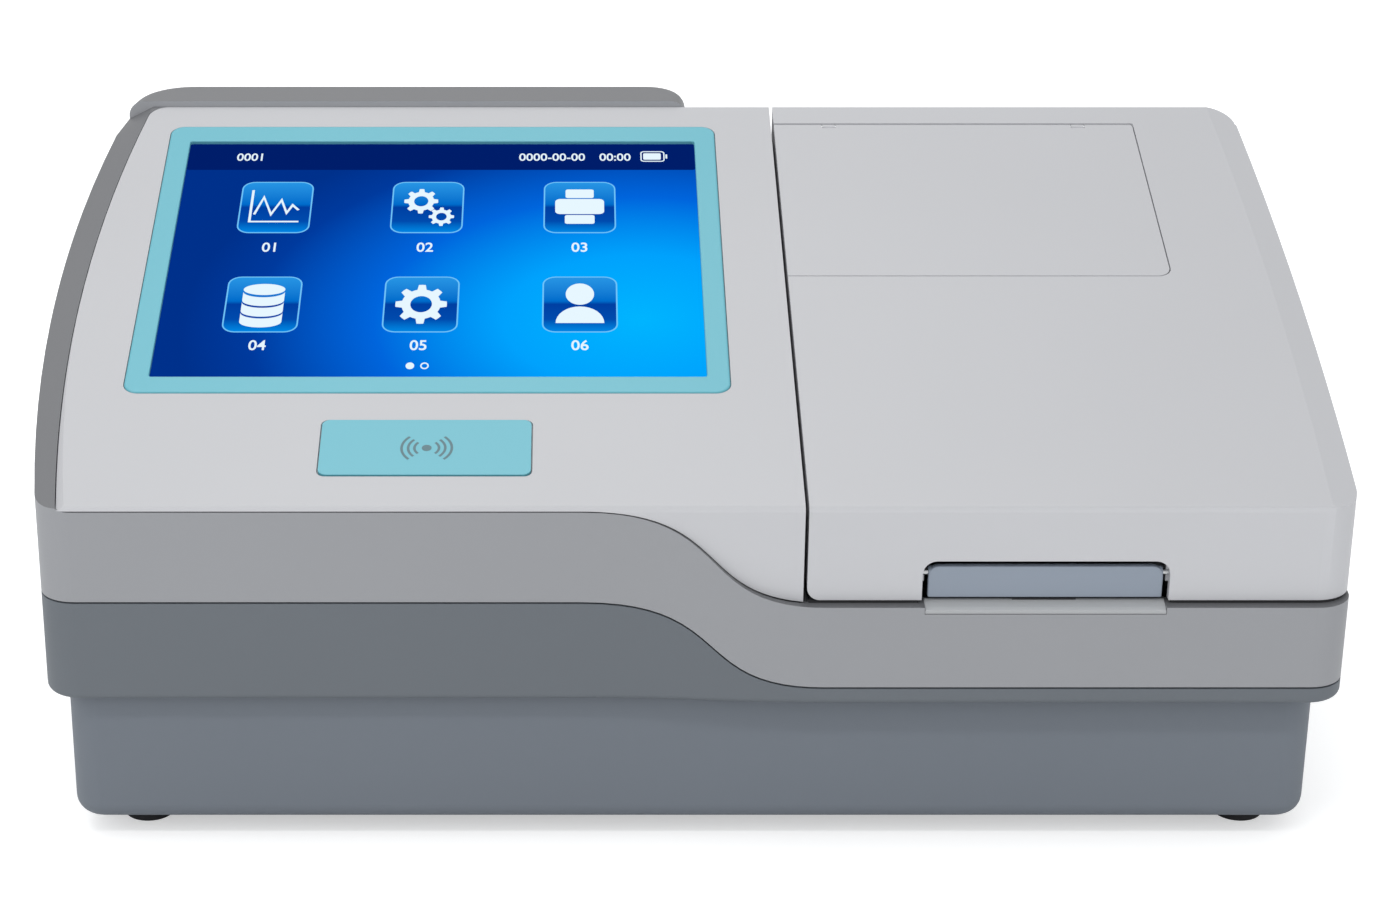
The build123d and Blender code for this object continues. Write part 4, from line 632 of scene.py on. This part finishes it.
# %% Pictograms
INK_LOW = GLASS_FACE + LAYER
INK_HIGH = GLASS_FACE + 2 * LAYER
PEN = 1.0
CHART_AXES = ((-9.5, 12.0), (-9.5, -10.0), (9.5, -10.0))
CHART_CURVE = ((-8.0, -5.0), (-5.0, 7.0), (-1.5, -5.0), (2.0, 5.0), (4.5, -4.0), (6.5, 1.5), (9.0, -2.0))
TEETH = 8
TOOTH = ((-0.30, 0.76), (-0.17, 1.0), (0.0, 1.0), (0.17, 1.0), (0.30, 0.76), (0.5, 0.76))
COG_HOLE = 0.42               # share of the cog's radius, as the second numbers in TOOTH are
COG_PAIR = ((-2.6, 4.2, 6.6), (5.6, -6.6, 4.9))
LONE_COG = 9.6
PRINTER = (                   # how far up, width, height and corner of its three plates
    (9.5, 11.0, 6.0, 1.0),
    (0.5, 19.0, 10.5, 2.0),
    (-8.5, 11.5, 6.0, 1.0),
)
DISC_RADIUS = 7.8
DISC_RISE = 3.6
DISC_TOP = 9.5
DISC_LEVELS = (5.0, -1.8, -8.6)
DISC_BELOW = 2.6              # a disc's side reaches this far below and above its level
DISC_ABOVE = 3.0
HEAD_RADIUS = 5.3
HEAD_RUN = 6.5
SHOULDER_RUN = -12.0
SHOULDER_HALF = 9.0
SHOULDER_HEIGHT = 10.5
chart, cogs, printer, discs, lone_cog, user = tile_places
ink = bmesh.new()


def inked(outline):
    """Add one flat shape to the pictograms."""
    slab(ink, outline, INK_LOW, INK_HIGH)


def cog(x, run, radius):
    """Add a cog with tapered teeth and a round hole to the pictograms."""
    outer, inner = [], []
    for tooth in range(TEETH):
        for part, reach in TOOTH:
            angle = 2 * pi * (tooth + part) / TEETH
            outer.append(polar(x, run, reach * radius, angle, STRETCH))
            inner.append(polar(x, run, COG_HOLE * radius, angle, STRETCH))
    band(ink, outer, inner, INK_LOW, INK_HIGH)


for line in (CHART_AXES, CHART_CURVE):
    stroke(ink, [(chart[0] + x, chart[1] + run) for x, run in line], PEN, INK_LOW, INK_HIGH)
for x, run, radius in COG_PAIR:
    cog(cogs[0] + x, cogs[1] + run, radius)
for run, width, height, corner in PRINTER:
    inked(rounded(printer[0], printer[1] + run, width, height, corner))
inked(ring_points(discs[0], discs[1] + DISC_TOP, DISC_RADIUS, 40, DISC_RISE / DISC_RADIUS))
for level in DISC_LEVELS:
    low_arc = half_ring(discs[0], discs[1] + level - DISC_BELOW, DISC_RADIUS, DISC_RISE, pi)
    high_arc = half_ring(discs[0], discs[1] + level + DISC_ABOVE, DISC_RADIUS, DISC_RISE, pi)
    inked(low_arc + high_arc[::-1])
cog(*lone_cog, LONE_COG)
inked(ring_points(user[0], user[1] + HEAD_RUN, HEAD_RADIUS, 40, STRETCH))
inked(half_ring(user[0], user[1] + SHOULDER_RUN, SHOULDER_HALF, SHOULDER_HEIGHT))
finished(ink, "pictograms", "picture_white")
print("pictograms", len(tile_places))

# %% [markdown]
# Two dots at the foot say which page of the menu shows. A battery stands at the right end of the bar.

# %% Page dots and battery
DOT_RUN = 83.1
DOT_FULL_X = -98.3
DOT_OPEN_X = -93.0
DOT_RADIUS = 1.55
DOT_HOLE = 1.05
DOT_POINTS = 24
BATTERY_X = -7.6
BATTERY_RUN = 223.2
BATTERY_CASE = (9.6, 7.6, 1.4)    # width, height and corner
BATTERY_ROOM = (8.6, 6.4, 0.9)
BATTERY_CHARGE = (7.0, 4.6, 0.6)
BATTERY_NIB = (0.7, 3.0, 0.3)
marks = bmesh.new()
slab(marks, ring_points(DOT_FULL_X, DOT_RUN, DOT_RADIUS, DOT_POINTS, STRETCH), GLASS_FACE, INK_HIGH)
open_dot = ring_points(DOT_OPEN_X, DOT_RUN, DOT_RADIUS, DOT_POINTS, STRETCH)
dot_hole = ring_points(DOT_OPEN_X, DOT_RUN, DOT_HOLE, DOT_POINTS, STRETCH)
band(marks, open_dot, dot_hole, GLASS_FACE, INK_HIGH)
battery_case = rounded(BATTERY_X, BATTERY_RUN, *BATTERY_CASE)
battery_room = rounded(BATTERY_X, BATTERY_RUN, *BATTERY_ROOM)
band(marks, battery_case, battery_room, INK_LOW, INK_HIGH)
slab(marks, rounded(BATTERY_X - 0.2, BATTERY_RUN, *BATTERY_CHARGE), INK_LOW, INK_HIGH)
slab(marks, rounded(BATTERY_X + 5.5, BATTERY_RUN, *BATTERY_NIB), INK_LOW, INK_HIGH)
finished(marks, "screen_marks", "picture_white")
print("page dots and battery drawn")

# %% [markdown]
# The tiles are labelled with plain numbers, and so is the bar. Each number is a text object turned into a
# mesh, whose points are then laid on the slope.

# %% Numbers
NUMBER_SIZE = 6.6
BAR_NUMBER_SIZE = 0.86 * NUMBER_SIZE
NUMBER_WEIGHT = 0.012         # how far the strokes are fattened, as a share of the size
BAR_NUMBER_RUN = 220.2
BAR_NUMBERS = (("0001", -172.8), ("0000-00-00", -60.7), ("00:00", -28.8))
LABEL_RUNS = (156.4, 92.9)


def written(text, x, run, size, align, low, high):
    """Plain characters on the slope, as a mesh between two lifts."""
    curve = bpy.data.curves.new("number", "FONT")
    curve.body = text
    curve.size = size
    curve.align_x = align
    curve.extrude = (high - low) / 2
    curve.offset = NUMBER_WEIGHT * size
    holder = bpy.data.objects.new("number", curve)
    bpy.context.scene.collection.objects.link(holder)
    bpy.context.view_layer.update()
    mesh = bpy.data.meshes.new_from_object(holder.evaluated_get(bpy.context.evaluated_depsgraph_get()))
    bpy.data.objects.remove(holder)
    bpy.data.curves.remove(curve)
    for vertex in mesh.vertices:
        flat = vertex.co.copy()
        vertex.co = on_top(x + flat.x, run + STRETCH * flat.y, (low + high) / 2 + flat.z)
    return mesh


labels = [(text, x, BAR_NUMBER_RUN, BAR_NUMBER_SIZE, "LEFT", INK_LOW) for text, x in BAR_NUMBERS]
tile_labels = [(x, run) for run in LABEL_RUNS for x in TILE_COLUMNS]
for count, (x, run) in enumerate(tile_labels, start=1):
    labels.append((f"{count:02d}", x, run, NUMBER_SIZE, "CENTER", GLASS_FACE))
numbers = bmesh.new()
for text, x, run, size, align, low in labels:
    mesh = written(text, x, run, size, align, low, low + LAYER)
    numbers.from_mesh(mesh)
    bpy.data.meshes.remove(mesh)
finished(numbers, "screen_numbers", "picture_white")
print("numbers", [label[0] for label in labels])

# %% [markdown]
# The contactless reader's pad carries a printed sign, a dot with waves to both sides.

# %% Sign on the pad
PAD_SIGN = (-90.3, 32.9)
PAD_FACE = 0.4                # the pad's face, as a lift above the top's plane
SIGN_DOT = 1.75
SIGN_LINE = 0.95
WAVES = (4.3, 6.5, 8.8)
WAVE_ANGLE = 46               # degrees that a wave reaches up and down
WAVE_STEPS = 14


def wave_edge(side, radius):
    """One edge of a wave, to the right or left of the sign's dot."""
    angles = [radians(WAVE_ANGLE * (2 * i / WAVE_STEPS - 1)) for i in range(WAVE_STEPS + 1)]
    return [(PAD_SIGN[0] + side * radius * cos(angle), PAD_SIGN[1] + radius * sin(angle)) for angle in angles]


sign = bmesh.new()
slab(sign, ring_points(*PAD_SIGN, SIGN_DOT, 28), PAD_FACE, PAD_FACE + LAYER)
for side in (1, -1):
    for radius in WAVES:
        outer = wave_edge(side, radius + SIGN_LINE / 2)
        inner = wave_edge(side, radius - SIGN_LINE / 2)
        slab(sign, outer + inner[::-1], PAD_FACE, PAD_FACE + LAYER)
finished(sign, "pad_sign", "print_grey")
print("waves", 2 * len(WAVES))

# %% [markdown]
# ## Forms that the frame holds plainer
# In the photograph the lid's right flank is a shallow facet with a rounded rear corner, the shell's left rim
# is shallow too, the tub stands a little to the right under the skirt, and the latch is a small plate with
# round upper corners in a larger notch. These pieces start from the frame's own meshes, or from a few curves,
# and take the place of the frame's nodes. The helpers read the housing's bowed sides and sloping top, move a
# copied mesh by a rule, draw an outline out into a solid, and cut one solid out of another.

# %% Helpers for reshaped pieces
HALF_WIDTH = 232.5
RIGHT_BOW = 2700.0            # plan radius of the right side, and where it is widest
RIGHT_BOW_Y = -39.0
LEFT_BOW = 710.0
LEFT_BOW_Y = -21.0


def right_side(y):
    """X of the housing's right side."""
    return HALF_WIDTH - RIGHT_BOW + (RIGHT_BOW**2 - (y - RIGHT_BOW_Y) ** 2) ** 0.5


def left_side(y):
    """X of the housing's left side."""
    return LEFT_BOW - HALF_WIDTH - (LEFT_BOW**2 - (y - LEFT_BOW_Y) ** 2) ** 0.5


def top_z(y):
    """Height of the sloping top."""
    return TOP_FRONT_Z + (y - TOP_FRONT_Y) * tan(SLOPE)


def reshaped(name, source, move, body="housing", finish=None):
    """A copy of a node whose points are moved by a rule in millimetres; it takes the node's place."""
    bm = bmesh.new()
    bm.from_mesh(nodes[source].data)
    bm.transform(nodes[source].matrix_world)
    for vertex in bm.verts:
        vertex.co = Vector(move(*(vertex.co / MM))) * MM
    piece = finished(bm, name, finish or slots[source], body)
    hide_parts(source)
    return piece


def prism(bm, outline, place):
    """A solid between two copies of an outline; place turns a point and an end, 0 or 1, into millimetres."""
    ends = [[bm.verts.new(Vector(place(a, b, end)) * MM) for a, b in outline] for end in (0, 1)]
    bm.faces.new(list(reversed(ends[0])))
    bm.faces.new(ends[1])
    for i in range(len(outline)):
        j = (i + 1) % len(outline)
        bm.faces.new((ends[0][i], ends[0][j], ends[1][j], ends[1][i]))


def across(middle, width):
    """A place for prism: an outline of Y and Z, drawn out to both sides of a middle."""
    return lambda y, z, end: (middle + width * (end - 0.5), y, z)


def inward(first, last):
    """A place for prism: an outline of X and Z, drawn out from one Y to another."""
    return lambda x, z, end: (x, first + (last - first) * end, z)


def upright(first, last):
    """A place for prism: an outline of X and Y, drawn out from one Z to another."""
    return lambda x, y, end: (x, y, first + (last - first) * end)


def carve(piece, cutter_bm):
    """Cut a solid out of a piece and keep the result in its mesh."""
    bmesh.ops.recalc_face_normals(cutter_bm, faces=cutter_bm.faces)
    mesh = bpy.data.meshes.new("cutter")
    cutter_bm.to_mesh(mesh)
    cutter_bm.free()
    cutter = bpy.data.objects.new("cutter", mesh)
    bpy.context.scene.collection.objects.link(cutter)
    cut = piece.modifiers.new("cut", "BOOLEAN")
    cut.operation = "DIFFERENCE"
    cut.solver = "EXACT"
    cut.object = cutter
    bpy.context.view_layer.update()
    result = bpy.data.meshes.new_from_object(piece.evaluated_get(bpy.context.evaluated_depsgraph_get()))
    piece.modifiers.remove(cut)
    result.name = piece.data.name + "_cut"
    piece.data = result
    bpy.data.objects.remove(cutter)
    bpy.data.meshes.remove(mesh)


print("sides at Y 0:", round(left_side(0), 1), "and", round(right_side(0), 1), "mm")

# %% [markdown]
# The lid's flank and the shell's rim are facets that the frame lets fall by half a millimetre for each
# millimetre outward. Lifting their points in step with the distance from the facet's inner edge makes them
# shallower and keeps that edge where it is.

# %% Lid with its shallow flank, round corner and wide notch
RIM = 10.0
RIM_SLOPE = 0.5               # the frame's facet falls this much for each millimetre
RIM_DEPTH = 14.0              # points this far under the top's plane still belong to the facet
FLANK_SLOPE = 0.16
LID_REAR_Y = 112.9
LID_CORNER = 10.0
CORNER_SPARE = 3.0            # how far the corner's cutter stands outside the lid
CORNER_Z = (80.0, 230.0)
NOTCH_X = 124.0
NOTCH_WIDTH = 85.3
NOTCH_TOP = 113.5
NOTCH_HEIGHT = 40.0
NOTCH_CORNER = 5.0
NOTCH_Y = (-150.0, -132.8)


def shallow_flank(x, y, z):
    """Lift the lid's flank from the frame's steep facet to the shallow one."""
    reach = x - (right_side(y) - RIM)
    if reach > 0 and z > top_z(y) - RIM_DEPTH:
        z += reach * (RIM_SLOPE - FLANK_SLOPE)
    return x, y, z


lid = reshaped("lid_skin", "lid_shell", shallow_flank, "lid")
corner_x = right_side(LID_REAR_Y)
arc_x = corner_x - LID_CORNER
arc_y = LID_REAR_Y - LID_CORNER
corner = [polar(arc_x, arc_y, LID_CORNER, radians(90 * i / 10)) for i in range(11)]
corner += [
    (arc_x, LID_REAR_Y + CORNER_SPARE),
    (corner_x + CORNER_SPARE, LID_REAR_Y + CORNER_SPARE),
    (corner_x + CORNER_SPARE, arc_y),
]
cutter = bmesh.new()
prism(cutter, corner, upright(*CORNER_Z))
carve(lid, cutter)

cutter = bmesh.new()
notch = rounded(NOTCH_X, NOTCH_TOP - NOTCH_HEIGHT / 2, NOTCH_WIDTH, NOTCH_HEIGHT, NOTCH_CORNER)
prism(cutter, notch, inward(*NOTCH_Y))
carve(lid, cutter)
soften(lid, EDGE_BREAK)
print("lid skin", len(lid.data.polygons), "faces")

# %% [markdown]
# The paddle is a plate with round upper corners and a barrel behind it for its pin. Under it lies the light
# lip of a shallow finger scoop.

# %% Paddle and scoop
PADDLE_WIDTH = 81.0
PADDLE_TOP = 110.9
PADDLE_LOW = 99.2
PADDLE_CORNER = 3.6
PADDLE_Y = (-132.2, -135.2)
PADDLE_BREAK = 0.5 * MM
BARREL_RADIUS = 2.2
PIN = (-132.9, 108.0)         # Y and Z of the latch's pin
SCOOP_WIDTH = 83.3
SCOOP_BREAK = 0.2 * MM
SCOOP = ((-139.9, 95.1), (-136.5, 95.1), (-133.3, 98.1), (-134.6, 97.7), (-138.4, 97.0), (-139.9, 96.4))
paddle_z = (PADDLE_TOP + PADDLE_LOW) / 2

plate = rounded(NOTCH_X, paddle_z, PADDLE_WIDTH, PADDLE_TOP - PADDLE_LOW, PADDLE_CORNER)
plate = [(x, z) for x, z in plate if z > paddle_z]
plate += [(NOTCH_X - PADDLE_WIDTH / 2, PADDLE_LOW), (NOTCH_X + PADDLE_WIDTH / 2, PADDLE_LOW)]
bm = bmesh.new()
prism(bm, plate, inward(*PADDLE_Y))
prism(bm, ring_points(*PIN, BARREL_RADIUS, 28), across(NOTCH_X, PADDLE_WIDTH))
paddle = finished(bm, "paddle", "paddle_plastic", "latch")
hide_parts("latch_paddle")
soften(paddle, PADDLE_BREAK)

bm = bmesh.new()
prism(bm, SCOOP, across(NOTCH_X, SCOOP_WIDTH))
soften(finished(bm, "scoop", "scoop_plastic"), SCOOP_BREAK)
print("paddle", PADDLE_WIDTH, "mm wide in a notch of", NOTCH_WIDTH, "mm")

# %% [markdown]
# The tub and its feet stand further right than in the frame, and the tub reaches lower between thinner feet.
# The shell's rim is lifted as the lid's flank is, up to where its hood starts.

# %% Tub, feet and shell
TUB_SHIFT = 2.7
TUB_KEPT_Z = 30.0             # the tub stays as it is above this height
TUB_FRAME_LOW = 10.0
TUB_LOW = 8.0
FOOT_SHIFT = 5.0
LEFT_RIM_SLOPE = 0.2
HOOD_START_Y = 112.0


def lower_tub(x, y, z):
    """Shift the tub to the right and draw its foot down."""
    if z <= TUB_KEPT_Z:
        z = TUB_LOW + (z - TUB_FRAME_LOW) * (TUB_KEPT_Z - TUB_LOW) / (TUB_KEPT_Z - TUB_FRAME_LOW)
    return x + TUB_SHIFT, y, z


def thin_feet(x, y, z):
    """Shift the feet to the right and press them under the lower tub."""
    return x + FOOT_SHIFT, y, z * TUB_LOW / TUB_FRAME_LOW


def shallow_rim(x, y, z):
    """Lift the shell's left rim from the frame's steep facet to a shallower one."""
    reach = left_side(y) + RIM - x
    if reach > 0 and y < HOOD_START_Y and z > top_z(y) - RIM_DEPTH:
        z += min(reach, RIM) * (RIM_SLOPE - LEFT_RIM_SLOPE)
    return x, y, z


soften(reshaped("tub", "base_tub", lower_tub, finish="tub_plastic"), EDGE_BREAK)
soften(reshaped("shell", "upper_shell", shallow_rim), EDGE_BREAK)
reshaped("rubber_feet", "feet", thin_feet)
